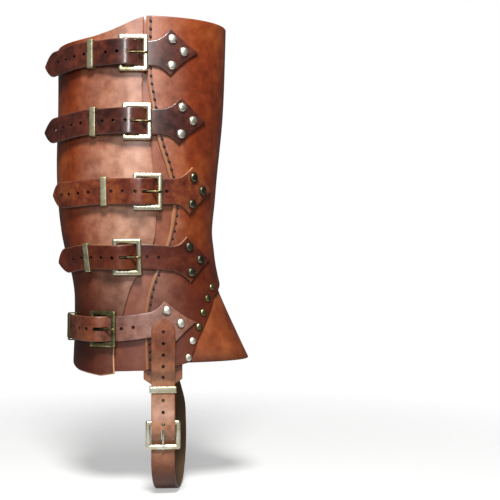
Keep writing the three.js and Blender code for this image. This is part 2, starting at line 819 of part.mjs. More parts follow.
function gussetGeometry() {
  const face = [];
  const back = [];
  for (const share of steps(0, 1, 1 / gussetRows)) {
    const middle = bodyHeight * share;
    const from = calfTurn(middle) - gussetLapBack / lengthPerDegree(0, middle, 0);
    const to = seamTurn(middle) + gussetLapFront / lengthPerDegree(0, middle, 0);
    const turns = steps(0, 1, 1 / gussetColumns).map((t) => THREE.MathUtils.lerp(from, to, t));
    const places = turns.map((turn) => {
      const bottom = bodyHeight * readStraight(rims, 'turn', 'bottom', turn) + gussetInset;
      const top = bodyHeight * readStraight(rims, 'turn', 'top', turn) - gussetInset;
      return [turn, THREE.MathUtils.lerp(bottom, top, share)];
    });
    face.push(places.map(([turn, z]) => wrap(turn, z, underLeather)));
    back.push(places.map(([turn, z]) => wrap(turn, z, 0)));
  }
  return slab(face, back);
}

// Instep flap under the notch of the leg panel.
const flapCutters = [];
const flapTurn = 7.6;
const flapRowCount = 4;

function flapGeometry() {
  const face = [];
  const back = [];
  const reach = flapEdge[flapEdge.length - 1].turn;
  for (const away of steps(-reach, reach, flapTurn)) {
    const bottom = bodyHeight * flapBottom;
    const top = bodyHeight * readStraight(flapEdge, 'turn', 'top', Math.abs(away));
    const heights = steps(bottom, top, (top - bottom) / flapRowCount);
    face.push(heights.map((z) => wrap(90 + away, z, underLeather)));
    back.push(heights.map((z) => wrap(90 + away, z, 0)));
  }
  return slab(face, back);
}

// Rivets of the flap's lap, on the outer side and then on the inner.
const lapGrip = panelFace + headRoom + backRoom;
for (const side of ['outer', 'inner']) {
  lapRivets.forEach((row, i) => {
    const turn = side === 'outer' ? 90 - row.turn : 90 + row.turn;
    const frame = legFrame(turn, bodyHeight * row.height, -backRoom);
    const cutter = holeCutter(frame, shankHole, lapGrip + strapLeather, shankHoleSides);
    panelCutters.push(cutter);
    flapCutters.push(cutter);
    add(`${side}_lap_rivet_${i + 1}`, rivetGeometry(smallHead, smallDome, lapGrip), rivetMetal, frame);
  });
}

// Leg straps.
const billetStep = 6.6;
const frontStep = 9;
const neckStep = 5;
const spadeStep = 7.1;
const billetColours = ['darkStrap', 'darkStrap', 'darkStrap', 'strap', 'strap'];
straps.forEach((row, i) => {
  const label = `strap_${i + 1}`;
  const map = strapMap(row);
  const { keeper, tailTip } = map;
  const spadeTip = map.distanceTo(row.spade);
  const spadeStart = spadeTip - spadeLength;
  const flat = strapBack + strapLeather / 2;
  const tailLevel = billetOnChape + strapLeather / 2;
  const middle = easedPath([[tailTip, tailLevel], ...billetPlaces(keeper)], billetStep);
  const front = steps(landing, spadeStart - neckLength, frontStep).slice(1);
  const neck = steps(spadeStart - neckLength, spadeStart, neckStep).slice(1);
  const spade = steps(spadeStart, spadeTip, spadeStep).slice(1);
  const path = [...middle, ...[...front, ...neck, ...spade].map((along) => [along, flat])];
  const halfWidth = (along) => {
    if (along > landing) return Math.min(spadeHalfWidth(spadeTip - along), spadeWidth / 2);
    return along < -keeper ? tailHalfWidth(along - tailTip, strapWidth) : strapWidth / 2;
  };
  const frame = addBuckle(label, map, keeper, strapWidth);
  const tailHole = strapWidth * row.first;
  const cutters = [billetSlot(frame), ...tailHoles(map, path, keeper, tailHole, tailTip + tailLength)];
  for (let hole = 0; hole < row.holes; hole += 1) {
    cutters.push(strapHole(map, path, holeAhead + hole * holePitch));
  }
  const rivetBack = spadeTip - spadeRivetFromTip - spadeRivetBack;
  const rivetPlaces = [
    [spadeTip - spadeRivetFromTip, 0],
    [rivetBack, spadeRivetSpread],
    [rivetBack, -spadeRivetSpread],
  ];
  const grip = strapFace + headRoom - panelInside + backRoom;
  rivetPlaces.forEach(([along, across], k) => {
    const seat = map.frame(along, across, panelInside - backRoom);
    const cutter = holeCutter(seat, shankHole, grip + strapLeather, shankHoleSides);
    cutters.push(cutter);
    panelCutters.push(cutter);
    add(`${label}_rivet_${k + 1}`, rivetGeometry(rivetHead, rivetDome, grip), rivetMetal, seat);
  });
  const billet = cut(band(path, strapLeather, halfWidth, map.point, row.lines), cutters);
  add(`${label}_billet`, billet, leather(leatherColours[billetColours[i]]));

  const sewnEnd = -keeper - keeperWidth / 2 - sewnLength;
  const sewnLevel = panelFace + gap + chapeLeather / 2;
  const chapePath = chapePlaces(keeper, sewnEnd, sewnLevel);
  const chape = band(chapePath, chapeLeather, () => chapeWidth / 2, map.point);
  add(`${label}_chape`, cut(chape, [chapeSlot(frame)]), leather(leatherColours.strap));
});

// Stirrup: a local mapping that hangs from the lower rim on the outer side.
const rimFrame = legFrame(stirrupTurn, 0, 0);
const stirrupOut = new THREE.Vector3().setFromMatrixColumn(rimFrame.matrix, 2).setZ(0).normalize();
const stirrupAcross = new THREE.Vector3(0, 0, 1).cross(stirrupOut).normalize();
const stirrupOrigin = formPoint(stirrupTurn, 0);
const tabLevel = -gap * 2 - tabLeather / 2;
const stirrupSink = chapeBack + chapeLeather / 2 + gap + tabLeather / 2;

function stirrupPoint(along, across, level) {
  return stirrupOrigin.clone()
    .add(new THREE.Vector3(0, 0, -stirrupBuckle - along))
    .addScaledVector(stirrupAcross, across)
    .addScaledVector(stirrupOut, level - stirrupSink);
}

const stirrupMap = {
  point: stirrupPoint,
  frame: (along, across, level) => frameAt(
    stirrupPoint(along, across, level),
    new THREE.Vector3(0, 0, -1),
    stirrupAcross,
  ),
};
const stirrupBuckleFrame = addBuckle('stirrup', stirrupMap, stirrupKeeper, stirrupWidth);

// Tab: sewn inside the rim, shouldered, then a chape for the stirrup's buckle.
function tabGeometry() {
  const rim = -stirrupBuckle;
  const inside = stirrupSink + tabLevel;
  const chapePath = chapePlaces(stirrupKeeper, rim - tabRise, inside);
  const path = [
    chapePath[0],
    [rim - tabCover - tabShoulder, inside],
    [rim - tabCover, inside],
    [rim + tabShoulder, inside],
    [rim + tabShoulder + tabWaist, inside],
    ...chapePath.slice(2),
  ];
  const half = (along) => {
    if (along < rim - tabCover) return tabSewnWidth / 2;
    return along <= rim + tabShoulder ? tabWidth / 2 : chapeWidth / 2;
  };
  return cut(band(path, chapeLeather, half, stirrupPoint), [chapeSlot(stirrupBuckleFrame)]);
}

// Stirrup strap: tail over the lowest strap, through keeper and buckle, under the foot.
const tailRows = [
  { rise: 1, over: 1 },
  { rise: 0.667, over: 1 },
  { rise: 0.456, over: 0.85 },
  { rise: 0.246, over: 0.12 },
  { rise: 0.105, over: 0 },
];
const nearStep = 5.5;
const stationRoom = 1.5;

function stirrupGeometry() {
  const overPanel = stirrupSink + panelFace + headRoom + gap + strapLeather / 2;
  const overSpade = stirrupSink + strapFace + headRoom * 2 + gap + rivetDome + strapLeather / 2;
  const onChape = billetOnChape + strapLeather / 2;
  const tailTip = -stirrupBuckle - stirrupTail;
  const nearPath = easedPath([
    ...tailRows.map((row) => [
      -stirrupBuckle - stirrupTail * row.rise,
      THREE.MathUtils.lerp(overPanel, overSpade, row.over),
    ]),
    [-stirrupBuckle, THREE.MathUtils.lerp(overPanel, onChape, 0.55)],
    [-stirrupBuckle + buckleWire, THREE.MathUtils.lerp(overPanel, onChape, 0.9)],
    ...billetPlaces(stirrupKeeper),
  ], nearStep);
  const near = nearPath.map(([along, level]) => ({
    centre: stirrupPoint(along, 0, level),
    across: stirrupAcross,
    half: tailHalfWidth(along - tailTip, stirrupWidth),
  }));
  const innerTurn = 180 - stirrupInnerTurn;
  const innerFrame = legFrame(innerTurn, 0, 0);
  const innerOut = new THREE.Vector3().setFromMatrixColumn(innerFrame.matrix, 2).setZ(0).normalize();
  const innerAcross = innerOut.clone().cross(new THREE.Vector3(0, 0, 1)).normalize();
  const start = stirrupPoint(buckleSpan / 2, 0, strapBack + strapLeather / 2);
  const innerLevel = panelInside - gap * 2 - strapLeather / 2;
  const finish = formPoint(innerTurn, 0).addScaledVector(innerOut, innerLevel);
  const far = stirrupRoute.map((row) => ({
    centre: new THREE.Vector3(
      THREE.MathUtils.lerp(start.x, finish.x, row.across) + strapWidth * row.shift,
      THREE.MathUtils.lerp(start.y, finish.y, row.across),
      -stirrupDrop * row.drop,
    ),
    across: stirrupAcross.clone().lerp(innerAcross, row.twist).normalize(),
    half: stirrupWidth / 2,
  }));
  const stations = [...near, ...far].filter((station, i, list) => (
    i === 0 || station.centre.distanceTo(list[i - 1].centre) > stationRoom));
  const face = [];
  const back = [];
  stations.forEach((station, i) => {
    const before = stations[Math.max(i - 1, 0)].centre;
    const after = stations[Math.min(i + 1, stations.length - 1)].centre;
    const way = after.clone().sub(before).normalize();
    const out = way.clone().cross(station.across).normalize();
    const across = out.clone().cross(way).normalize();
    const row = (sign) => [-station.half, station.half].map((side) => station.centre.clone()
      .addScaledVector(across, side)
      .addScaledVector(out, sign * strapLeather / 2));
    face.push(row(1));
    back.push(row(-1));
  });
  const end = tailTip + tailLength / 2;
  const holes = tailHoles(stirrupMap, nearPath, stirrupKeeper, stirrupHole, end);
  return cut(slab(face, back), [billetSlot(stirrupBuckleFrame), ...holes]);
}

add('leg_panel', cut(panelGeometry(), panelCutters), leather(leatherColours.panel));
add('gusset_panel', gussetGeometry(), leather(leatherColours.gusset));
add('instep_flap', cut(flapGeometry(), flapCutters), leather(leatherColours.flap));
add('stirrup_tab', tabGeometry(), leather(leatherColours.strap));
add('stirrup_strap', stirrupGeometry(), leather(leatherColours.stirrup));

export default greave;
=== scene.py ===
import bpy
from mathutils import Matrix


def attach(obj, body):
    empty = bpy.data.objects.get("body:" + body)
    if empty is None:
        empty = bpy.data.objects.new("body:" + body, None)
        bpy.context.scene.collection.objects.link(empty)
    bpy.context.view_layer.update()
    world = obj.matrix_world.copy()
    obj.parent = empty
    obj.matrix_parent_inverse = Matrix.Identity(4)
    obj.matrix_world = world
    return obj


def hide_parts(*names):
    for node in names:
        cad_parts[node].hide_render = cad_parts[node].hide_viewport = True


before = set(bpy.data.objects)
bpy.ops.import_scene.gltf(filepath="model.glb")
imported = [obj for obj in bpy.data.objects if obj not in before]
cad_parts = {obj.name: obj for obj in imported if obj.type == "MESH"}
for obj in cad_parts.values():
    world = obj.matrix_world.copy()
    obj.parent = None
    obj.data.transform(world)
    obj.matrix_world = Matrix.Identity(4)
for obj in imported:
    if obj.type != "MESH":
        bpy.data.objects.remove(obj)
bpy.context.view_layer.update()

# Leather greave in its finished look. Shapes are worked out in millimetres and stored in metres:
# +Z runs up the leg, +X to the shin, -Y to the outer side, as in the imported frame.

import math

import bpy
import numpy as np
from mathutils import Matrix, Vector, noise

metre = 0.001
print("frame loaded")

# Sizes that several pieces share, in millimetres and degrees.
shinDirection = 90
legForm = {"height": 340, "back": 77, "front": 80, "side": 58.6, "toe": 43.5}
leather = {"under": 2.2, "panel": 2.5, "strap": 2.6, "chape": 1.8, "tab": 2.4,
           "rounding": 0.9, "edgeLeft": 0.45}
layers = {"lapGap": 0.7, "gap": 0.3, "strapRoom": 0.45}
relief = {"width": 55, "depth": 0.45}

panelInside = leather["under"] + layers["lapGap"]
panelFace = panelInside + leather["panel"]
strapBack = panelFace + layers["strapRoom"]
strapFace = strapBack + leather["strap"]

# Leg form by share of height: shares of its back, front, toe and side sizes.
formRows = [
    (-0.08, 0.79, 0.86, 1.24, 0.82), (0.0, 0.79, 0.86, 1.0, 0.83),
    (0.06, 0.78, 0.86, 0.775, 0.835), (0.118, 0.768, 0.86, 0.565, 0.84),
    (0.176, 0.767, 0.86, 0.36, 0.845), (0.235, 0.775, 0.86, 0.165, 0.855),
    (0.3, 0.825, 0.868, 0.03, 0.865), (0.35, 0.885, 0.856, 0.0, 0.89),
    (0.41, 0.938, 0.833, 0.0, 0.93), (0.5, 0.985, 0.87, 0.0, 0.975),
    (0.6, 1.0, 0.905, 0.0, 1.0), (0.75, 0.985, 0.965, 0.0, 1.0),
    (0.9, 0.98, 0.995, 0.0, 0.99), (1.03, 0.98, 1.01, 0.0, 0.985),
]

# Closure by share of height: degrees round the leg of the calf edge and of the seam.
closureRows = [
    (0.0, -16.7, 8.0), (0.085, -17.1, 8.5), (0.13, -13.0, 8.9), (0.19, -8.0, 10.4),
    (0.235, -4.0, 13.1), (0.276, 1.6, 17.1), (0.326, 9.2, 23.9), (0.375, 15.5, 29.5),
    (0.42, 17.6, 33.2), (0.5, 17.4, 34.0), (0.576, 14.8, 28.3), (0.66, 12.2, 20.4),
    (0.77, 6.8, 14.5), (0.84, 6.7, 11.9), (1.0, 7.2, 11.5),
]

# Rims of the leg panel by degrees round the leg: shares of height of the upper and lower edge.
rimRows = [
    (-357, 1.0, 0.018), (-340, 1.0, 0.026), (-331, 1.0, 0.038), (-322, 1.0, 0.106),
    (-312.5, 1.0, 0.156), (-299.5, 1.0, 0.216), (-270, 1.0, 0.262), (-240.5, 0.998, 0.216),
    (-227.5, 0.993, 0.156), (-218, 0.989, 0.106), (-209, 0.984, 0.038), (-180, 0.965, 0.018),
    (-140, 0.945, 0.012), (-90, 0.935, 0.032), (-60, 0.938, 0.01), (-30, 0.946, 0.0),
    (-17, 0.958, 0.007), (-9, 0.97, 0.008), (8, 0.998, 0.01), (20, 1.0, 0.01),
]


# Value of a column at a place between two rows, on a smooth curve through them or straight.
def readRows(rows, column, at, eased=True):
    at = min(max(at, rows[0][0]), rows[-1][0])
    low = 0
    while low < len(rows) - 2 and at > rows[low + 1][0]:
        low += 1
    near, far = rows[low], rows[low + 1]
    span = far[0] - near[0]
    t = (at - near[0]) / span
    if not eased:
        return near[column] * (1 - t) + far[column] * t

    def slope(index):
        before, after = rows[max(index - 1, 0)], rows[min(index + 1, len(rows) - 1)]
        return (after[column] - before[column]) / (after[0] - before[0])

    rise = t * t * (3 - 2 * t)
    leave = t * (1 - t) ** 2 * span * slope(low)
    arrive = -t * t * (1 - t) * span * slope(low + 1)
    return near[column] * (1 - rise) + far[column] * rise + leave + arrive


formCache = {}


def formSizes(z):
    key = round(z, 3)
    if key not in formCache:
        share = z / legForm["height"]
        back = legForm["back"] * readRows(formRows, 1, share)
        front = legForm["front"] * readRows(formRows, 2, share)
        front += legForm["toe"] * readRows(formRows, 3, share)
        formCache[key] = (back, front, legForm["side"] * readRows(formRows, 4, share))
    return formCache[key]


# Point on the leg form. The outer side is at 0 degrees, the shin at 90, the calf at -90.
def formPoint(turn, z):
    back, front, side = formSizes(z)
    angle = math.radians(turn)
    reach = front if math.sin(angle) > 0 else back
    return Vector((reach * math.sin(angle), -side * math.cos(angle), z))


# Point at a distance out from the leg form; soft dents run through all the leathers alike.
def wrap(turn, z, out, dented=True):
    step = 0.05
    around = formPoint(turn + step, z) - formPoint(turn - step, z)
    up = formPoint(turn, z + step) - formPoint(turn, z - step)
    base = formPoint(turn, z)
    if dented:
        out += relief["depth"] * noise.noise(base / relief["width"])
    return base + around.cross(up).normalized() * out


def lengthPerDegree(turn, z, out):
    return (wrap(turn + 0.5, z, out, False) - wrap(turn - 0.5, z, out, False)).length


def seamTurn(z):
    return readRows(closureRows, 2, z / legForm["height"])


def calfTurn(z):
    return readRows(closureRows, 1, z / legForm["height"])


def mix(a, b, t):
    return a + (b - a) * t


def smoothStep(value, low, high):
    t = min(max((value - low) / (high - low), 0), 1)
    return t * t * (3 - 2 * t)


# Places from one end to the other, close together at both ends so that edges can be rounded.
def edgedPlaces(length, spacing):
    near = [0, 0.12, 0.35, 0.7, 1.2]
    inner = max(2, round((length - 2 * near[-1]) / spacing))
    middle = [near[-1] + (length - 2 * near[-1]) * i / inner for i in range(1, inner)]
    return near + middle + [length - value for value in reversed(near)]


# Smooth run of points through a few places; only the first axes count for its length.
def easedPath(places, spacing, axes=2):
    perSpan = 30
    points = [np.array(place, float) for place in places]
    points = [2 * points[0] - points[1]] + points + [2 * points[-1] - points[-2]]
    fine = []
    for i in range(1, len(points) - 2):
        p = points[i - 1:i + 3]
        knots = [0.0]
        for k in range(3):
            knots.append(knots[-1] + max(np.linalg.norm((p[k + 1] - p[k])[:axes]) ** 0.5, 1e-3))
        for step in range(perSpan):
            t = mix(knots[1], knots[2], step / perSpan)
            a = [p[k] + (p[k + 1] - p[k]) * (t - knots[k]) / (knots[k + 1] - knots[k]) for k in range(3)]
            b = [a[k] + (a[k + 1] - a[k]) * (t - knots[k]) / (knots[k + 2] - knots[k]) for k in range(2)]
            fine.append(b[0] + (b[1] - b[0]) * (t - knots[1]) / (knots[2] - knots[1]))
    fine.append(points[-2])
    fine = np.array(fine)
    run = np.concatenate([[0], np.cumsum(np.linalg.norm(np.diff(fine[:, :axes], axis=0), axis=1))])
    stops = np.linspace(0, run[-1], max(2, math.ceil(run[-1] / spacing)) + 1)
    return [tuple(np.interp(stop, run, fine[:, k]) for k in range(fine.shape[1])) for stop in stops]


# Materials. Colours are sRGB hex values, sizes of patterns are millimetres.


# Linear colour of an sRGB hex value.
def paint(code):
    shares = [int(code[i:i + 2], 16) / 255 for i in (0, 2, 4)]
    return [s / 12.92 if s <= 0.04045 else ((s + 0.055) / 1.055) ** 2.4 for s in shares] + [1]


# Sets a socket to a value, or links another node's output to it.
def feed(tree, value, socket):
    if isinstance(value, bpy.types.NodeSocket):
        tree.links.new(value, socket)
    else:
        socket.default_value = value


# Adds a node with its settings and with what feeds its inputs, by name or in their order: a value
# or another node's output. "stops" are a ramp's places and colours. Gives back one output.
def addNode(tree, kind, inputs=(), settings=None, output=0):
    node = tree.nodes.new("ShaderNode" + kind)
    for key, value in (settings or {}).items():
        if key != "stops":
            setattr(node, key, value)
            continue
        elements = node.color_ramp.elements
        elements.remove(elements[1])
        for index, (place, code) in enumerate(value):
            element = elements[0] if index == 0 else elements.new(place)
            element.position = place
            element.color = paint(code)
    for key, value in inputs.items() if isinstance(inputs, dict) else enumerate(inputs):
        feed(tree, value, node.inputs[key])
    return node.outputs[output]


# Settings that many nodes share.
multiply = {"operation": "MULTIPLY"}
multiplyAdd = {"operation": "MULTIPLY_ADD"}
subtract = {"operation": "SUBTRACT"}
absolute = {"operation": "ABSOLUTE"}
colourMix = {"data_type": "RGBA"}


# New material with noise patterns on the object's own coordinates, each given as its size, detail
# and roughness.
def startMaterial(name, *patterns):
    material = bpy.data.materials.new(name)
    material.use_nodes = True
    tree = material.node_tree
    coords = addNode(tree, "TexCoord", output="Object")
    noises = []
    for size, detail, rough in patterns:
        inputs = {"Vector": coords, "Scale": 1 / (size * metre), "Detail": detail, "Roughness": rough}
        noises.append(addNode(tree, "TexNoise", inputs))
    return material, tree, coords, noises


def finishMaterial(material, inputs):
    tree = material.node_tree
    for key, value in inputs.items():
        feed(tree, value, tree.nodes["Principled BSDF"].inputs[key])
    return material


# Painted highlight on the outer side, which faces the lights: a paler patch round an upright line,
# broken up by the mottle and fading up and down from its level. Gives its strength.
def paintedHighlightPatch(tree, look, fore, side, level, mottle):
    offset = addNode(tree, "Math", (fore, look["rubAt"] * metre), subtract)
    offset = addNode(tree, "Math", (offset,), absolute)
    height = addNode(tree, "Math", (level, look["rubLevel"] * metre), subtract)
    height = addNode(tree, "Math", (height,), absolute)
    brightening = addNode(tree, "MapRange", (offset, 0, look["rubReach"] * metre, 1, 0))
    outside = addNode(tree, "MapRange", (side, look["rubBehind"] * metre, look["rubOutside"] * metre, 0, 1))
    broken = addNode(tree, "MapRange", (mottle, *look["patchy"], *look["rubBreak"]))
    fading = (look["rubFull"] * metre, look["rubSpan"] * metre)
    faded = addNode(tree, "MapRange", (height, *fading, 1, look["rubFar"]))
    for factor in (outside, look["rubAmount"], broken, faded):
        brightening = addNode(tree, "Math", (brightening, factor), multiply)
    return brightening


# Painted shade that darkens the foot of a piece, more so on the calf side. Gives its strength.
def paintedFootShade(tree, look, fore, level):
    rise = (look["oiledFrom"] * metre, look["oiledTo"] * metre)
    foot = addNode(tree, "MapRange", (level, *rise, look["oiledAmount"], 0))
    calf = (look["calfFrom"] * metre, look["calfTo"] * metre)
    calfSide = addNode(tree, "MapRange", (fore, *calf, 1, look["calfMore"]))
    return addNode(tree, "Math", (foot, calfSide), multiply)


# Seam edge of the panel: a tan skived strip, the sunk line that the stitches lie in, darkened as
# painted shade, and the raw calf edge low down. Gives the colour marks and the groove's own strength.
def seamStainsAndShade(tree, look, edge, level):
    fromSeamEdge = addNode(tree, "Attribute", (), {"attribute_name": "skivedDistance"}, "Fac")
    strip = (look["skiveFrom"] * metre, look["skiveTo"] * metre)
    skived = addNode(tree, "MapRange", (fromSeamEdge, *strip, 1, 0))
    away = addNode(tree, "Math", (fromSeamEdge, look["seamAt"] * metre), subtract)
    away = addNode(tree, "Math", (away,), absolute)
    # Painted shade in the sunk stitch line: this mask darkens it, and also bends its bump below.
    groove = addNode(tree, "MapRange", (away, look["grooveFlat"] * metre, look["grooveWidth"] * metre, 1, 0))
    grooved = addNode(tree, "Math", (groove, look["grooveAmount"]), multiply)
    raw = addNode(tree, "MapRange", (edge, look["rawFull"] * metre, look["rawWidth"] * metre, 1, 0))
    farEdge = addNode(tree, "MapRange", (fromSeamEdge, look["farFrom"] * metre, look["farTo"] * metre, 0, 1))
    low = addNode(tree, "MapRange", (level, look["rawBelow"] * metre, look["rawEnd"] * metre, 1, 0))
    for factor in (farEdge, low):
        raw = addNode(tree, "Math", (raw, factor), multiply)
    return [(skived, look["skive"]), (grooved, look["oiled"]), (raw, look["rawEdge"])], groove


# Vegetable-tanned hide, grain side, waxed: cloudy colour, fine pores, paler rubbed edges and a
# soft broad shine; some looks add a painted highlight and painted shade. The pores are drawn coarser than
# real ones, so that they show.
def grainLeather(name, look):
    material, tree, coords, (cloud, mottle, fine) = startMaterial(
        name, (look["cloud"], 3, 0.5), (look["mottle"], 6, 0.6), (look["fine"], 4, 0.6))
    pore = addNode(tree, "TexVoronoi", {"Vector": coords, "Scale": 1 / (look["pore"] * metre)})
    edge = addNode(tree, "Attribute", (), {"attribute_name": "edgeDistance"}, "Fac")
    fore, side, level = addNode(tree, "SeparateXYZ", (coords,)).node.outputs

    tone = addNode(tree, "Mix", {0: look["cloudShare"], 2: mottle, 3: cloud})
    stops = list(zip(look["stops"], (look["dark"], look["mid"], look["light"])))
    colour = addNode(tree, "ValToRGB", (tone,), {"stops": stops})
    pores = addNode(tree, "MapRange", (pore, 0, look["poreWidth"], look["poreAmount"], 0))
    wear = addNode(tree, "MapRange", (edge, 0, look["edgeReach"] * metre, 1, 0))
    broken = addNode(tree, "MapRange", (mottle, *look["patchy"], *look["edgeBreak"]))
    for factor in (broken, look["edgeAmount"]):
        wear = addNode(tree, "Math", (wear, factor), multiply)
    stainsAndPaintedLight = [(pores, look["dark"]), (wear, look["edge"])]
    # Painted highlight: a paler patch on the side that faces the lights.
    if "rub" in look:
        stainsAndPaintedLight.append((paintedHighlightPatch(tree, look, fore, side, level, mottle), look["rub"]))
    # Painted shade: darker towards the foot, and more so on the calf side.
    if "oiled" in look:
        stainsAndPaintedLight.append((paintedFootShade(tree, look, fore, level), look["oiled"]))
    groove = None
    if "skive" in look:
        seam, groove = seamStainsAndShade(tree, look, edge, level)
        stainsAndPaintedLight += seam
    for amount, code in stainsAndPaintedLight:
        colour = addNode(tree, "Mix", {0: amount, 6: colour, 7: paint(code)}, colourMix, 2)

    height = fine
    for pattern, share in ((pore, look["poreDepth"]), (mottle, look["mottleDepth"])):
        height = addNode(tree, "Math", (pattern, share, height), multiplyAdd)
    bump = {"Height": height, "Strength": look["bump"], "Distance": look["bumpDepth"] * metre}
    normal = addNode(tree, "Bump", bump)
    if groove:
        flat = addNode(tree, "Math", (1, groove), subtract)
        bump = {"Height": flat, "Strength": look["grooveBump"], "Distance": look["grooveDepth"] * metre}
        normal = addNode(tree, "Bump", {"Normal": normal, **bump})
    rough = addNode(tree, "MapRange", (mottle, *look["roughOver"], *look["rough"]))
    return finishMaterial(material, {
        "Base Color": colour, "Roughness": rough, "Normal": normal, "Coat Weight": look["coat"],
        "Coat Roughness": look["coatRough"], "Specular IOR Level": look["specular"]})


# Open fibres: flesh side and cut edges of the hide, and the twisted thread. Matt, broken colour.
def openFibres(name, look):
    material, tree, coords, (cloud, fibre) = startMaterial(
        name, (look["cloud"], 3, 0.5), (look["fibre"], look["detail"], look["fray"]))
    tone = addNode(tree, "Mix", {0: look["cloudShare"], 2: fibre, 3: cloud})
    stops = list(zip(look["stops"], (look["dark"], look["light"])))
    colour = addNode(tree, "ValToRGB", (tone,), {"stops": stops})
    rough = addNode(tree, "MapRange", (fibre, *look["roughOver"], *look["rough"]))
    bump = {"Height": fibre, "Strength": look["bump"], "Distance": look["bumpDepth"] * metre}
    return finishMaterial(material, {"Base Color": colour, "Roughness": rough, "Sheen Weight": look["sheen"],
                                     "Normal": addNode(tree, "Bump", bump)})


# Cast and plated metal: bright faces, tarnish in patches, fine scratches across the leg.
def platedMetal(name, look):
    look = {**metalLook, **look}
    material, tree, coords, (patch, speck) = startMaterial(
        name, (look["patch"], 5, 0.6), (look["speck"], 4, 0.6))
    tone = addNode(tree, "Mix", {0: look["patchShare"], 2: speck, 3: patch})
    stops = list(zip(look["stops"], (look["tarnish"], look["mid"], look["bright"])))
    colour = addNode(tree, "ValToRGB", (tone,), {"stops": stops})
    rough = addNode(tree, "MapRange", (tone, *look["roughOver"], *reversed(look["rough"])))
    stretched = addNode(tree, "Mapping", {"Vector": coords, "Scale": look["stretch"]})
    scratch = addNode(tree, "TexNoise", {"Vector": stretched, "Scale": 1 / (look["scratch"] * metre),
                                         "Detail": 3, "Roughness": 0.5})
    bump = {"Height": scratch, "Strength": look["bump"], "Distance": look["bumpDepth"] * metre}
    return finishMaterial(material, {"Base Color": colour, "Roughness": rough, "Metallic": 1,
                                     "Normal": addNode(tree, "Bump", bump)})


# Looks of the leathers. Colours from dark to light, then sizes in millimetres and shares. Some looks add
# a painted highlight, a paler patch on the side facing the lights, and painted shade at the foot; skive,
# groove and rawEdge belong to the panel's seam, whose groove is darkened with the same painted shade.
baseLook = {
    "dark": "4C1806", "mid": "722C0D", "light": "8A431A", "stops": (0.36, 0.5, 0.64),
    "cloud": 60, "mottle": 11, "fine": 1.4, "cloudShare": 0.6, "patchy": (0.35, 0.65),
    "pore": 0.9, "poreWidth": 0.35, "poreAmount": 0.12, "poreDepth": 0.6, "mottleDepth": 1.6,
    "edge": "8A5030", "edgeReach": 1.2, "edgeAmount": 0.3, "edgeBreak": (0.35, 1),
    "rough": (0.42, 0.52), "roughOver": (0.3, 0.7), "bump": 0.14, "bumpDepth": 0.3,
    "coat": 0.25, "coatRough": 0.36, "specular": 0.38,
    "rubBehind": -30, "rubOutside": -50, "rubFull": 30, "rubSpan": 200, "rubBreak": (0.55, 1.2),
    "calfFrom": -30, "calfTo": -70, "calfMore": 1.6,
}
# Panel: painted highlight on the outer side round the middle, and painted shade at the foot and in the
# seam's groove.
panelLook = dict(
    baseLook, coat=0.38, coatRough=0.33, specular=0.3,
    rub="BC927A", rubAt=-3, rubReach=56, rubAmount=0.8, rubLevel=150, rubFar=0.45,
    oiled="380F04", oiledFrom=60, oiledTo=150, oiledAmount=0.72,
    skive="8C5A36", skiveFrom=1.2, skiveTo=2.2,
    seamAt=4, grooveFlat=0.2, grooveWidth=1.5, grooveAmount=0.7, grooveBump=0.9, grooveDepth=0.7,
    rawEdge="C08E68", rawFull=0.6, rawWidth=1.1, farFrom=100, farTo=200, rawBelow=30, rawEnd=45,
)
# Flap: painted shade at its foot.
flapLook = dict(
    baseLook, dark="5E2812", mid="78391A", light="8E4C26", cloud=36, coat=0.1,
    oiled="34160C", oiledFrom=11, oiledTo=26, oiledAmount=0.85,
)
# Gusset: painted highlight on its outer side round the middle height, and painted shade at the foot.
gussetLook = dict(
    baseLook, dark="521F12", mid="6C3220", light="80452E", cloud=34,
    rub="A06A52", rubAt=10, rubReach=60, rubAmount=0.6, rubLevel=140, rubFar=0,
    oiled="52261A", oiledFrom=40, oiledTo=130, oiledAmount=0.6,
)
darkLook = dict(
    baseLook, dark="260B05", mid="3E160C", light="562414", edge="7C5448", edgeAmount=0.5,
    cloud=24, mottle=6, rough=(0.34, 0.46), coat=0.8, coatRough=0.2, specular=0.5,
)
midLook = dict(darkLook, dark="40140A", mid="622812", light="7C401C", rough=(0.36, 0.48), coat=0.4)
strapLook = dict(
    baseLook, dark="360F06", mid="4A1A0B", light="5E2A12", edge="8C5C44", edgeAmount=0.4,
    cloud=26, mottle=6, rough=(0.36, 0.48), coat=0.35, coatRough=0.3,
)
# Lowest strap: a greyish painted sheen over its spade.
lowStrapLook = dict(
    strapLook, mid="602E1A", light="7A4226",
    rub="94766E", rubAt=18, rubReach=52, rubAmount=0.6, rubLevel=45, rubFar=1,
)
# Stirrup: painted highlight on its upper run, and painted shade on the bend under the foot.
stirrupLook = dict(
    baseLook, dark="4C200E", mid="683218", light="7E4626", cloud=26, mottle=6,
    rub="A87A5C", rubAt=27, rubReach=40, rubAmount=0.6, rubLevel=-38, rubFar=0, rubSpan=65,
    oiled="30120A", oiledFrom=-105, oiledTo=-65, oiledAmount=0.6,
)
panelLeather = grainLeather("waxed brown panel leather", panelLook)
flapLeather = grainLeather("orange-brown flap leather", flapLook)
gussetLeather = grainLeather("waxed brown gusset leather", gussetLook)
darkStrapLeather = grainLeather("chocolate bridle leather", darkLook)  # glossy, nearly black-brown
midStrapLeather = grainLeather("dark brown bridle leather", midLook)
strapLeather = grainLeather("red-brown bridle leather", strapLook)
lowStrapLeather = grainLeather("greyed bridle leather", lowStrapLook)  # painted sheen, greyish, over the spade
stirrupLeather = grainLeather("brown bridle leather", stirrupLook)

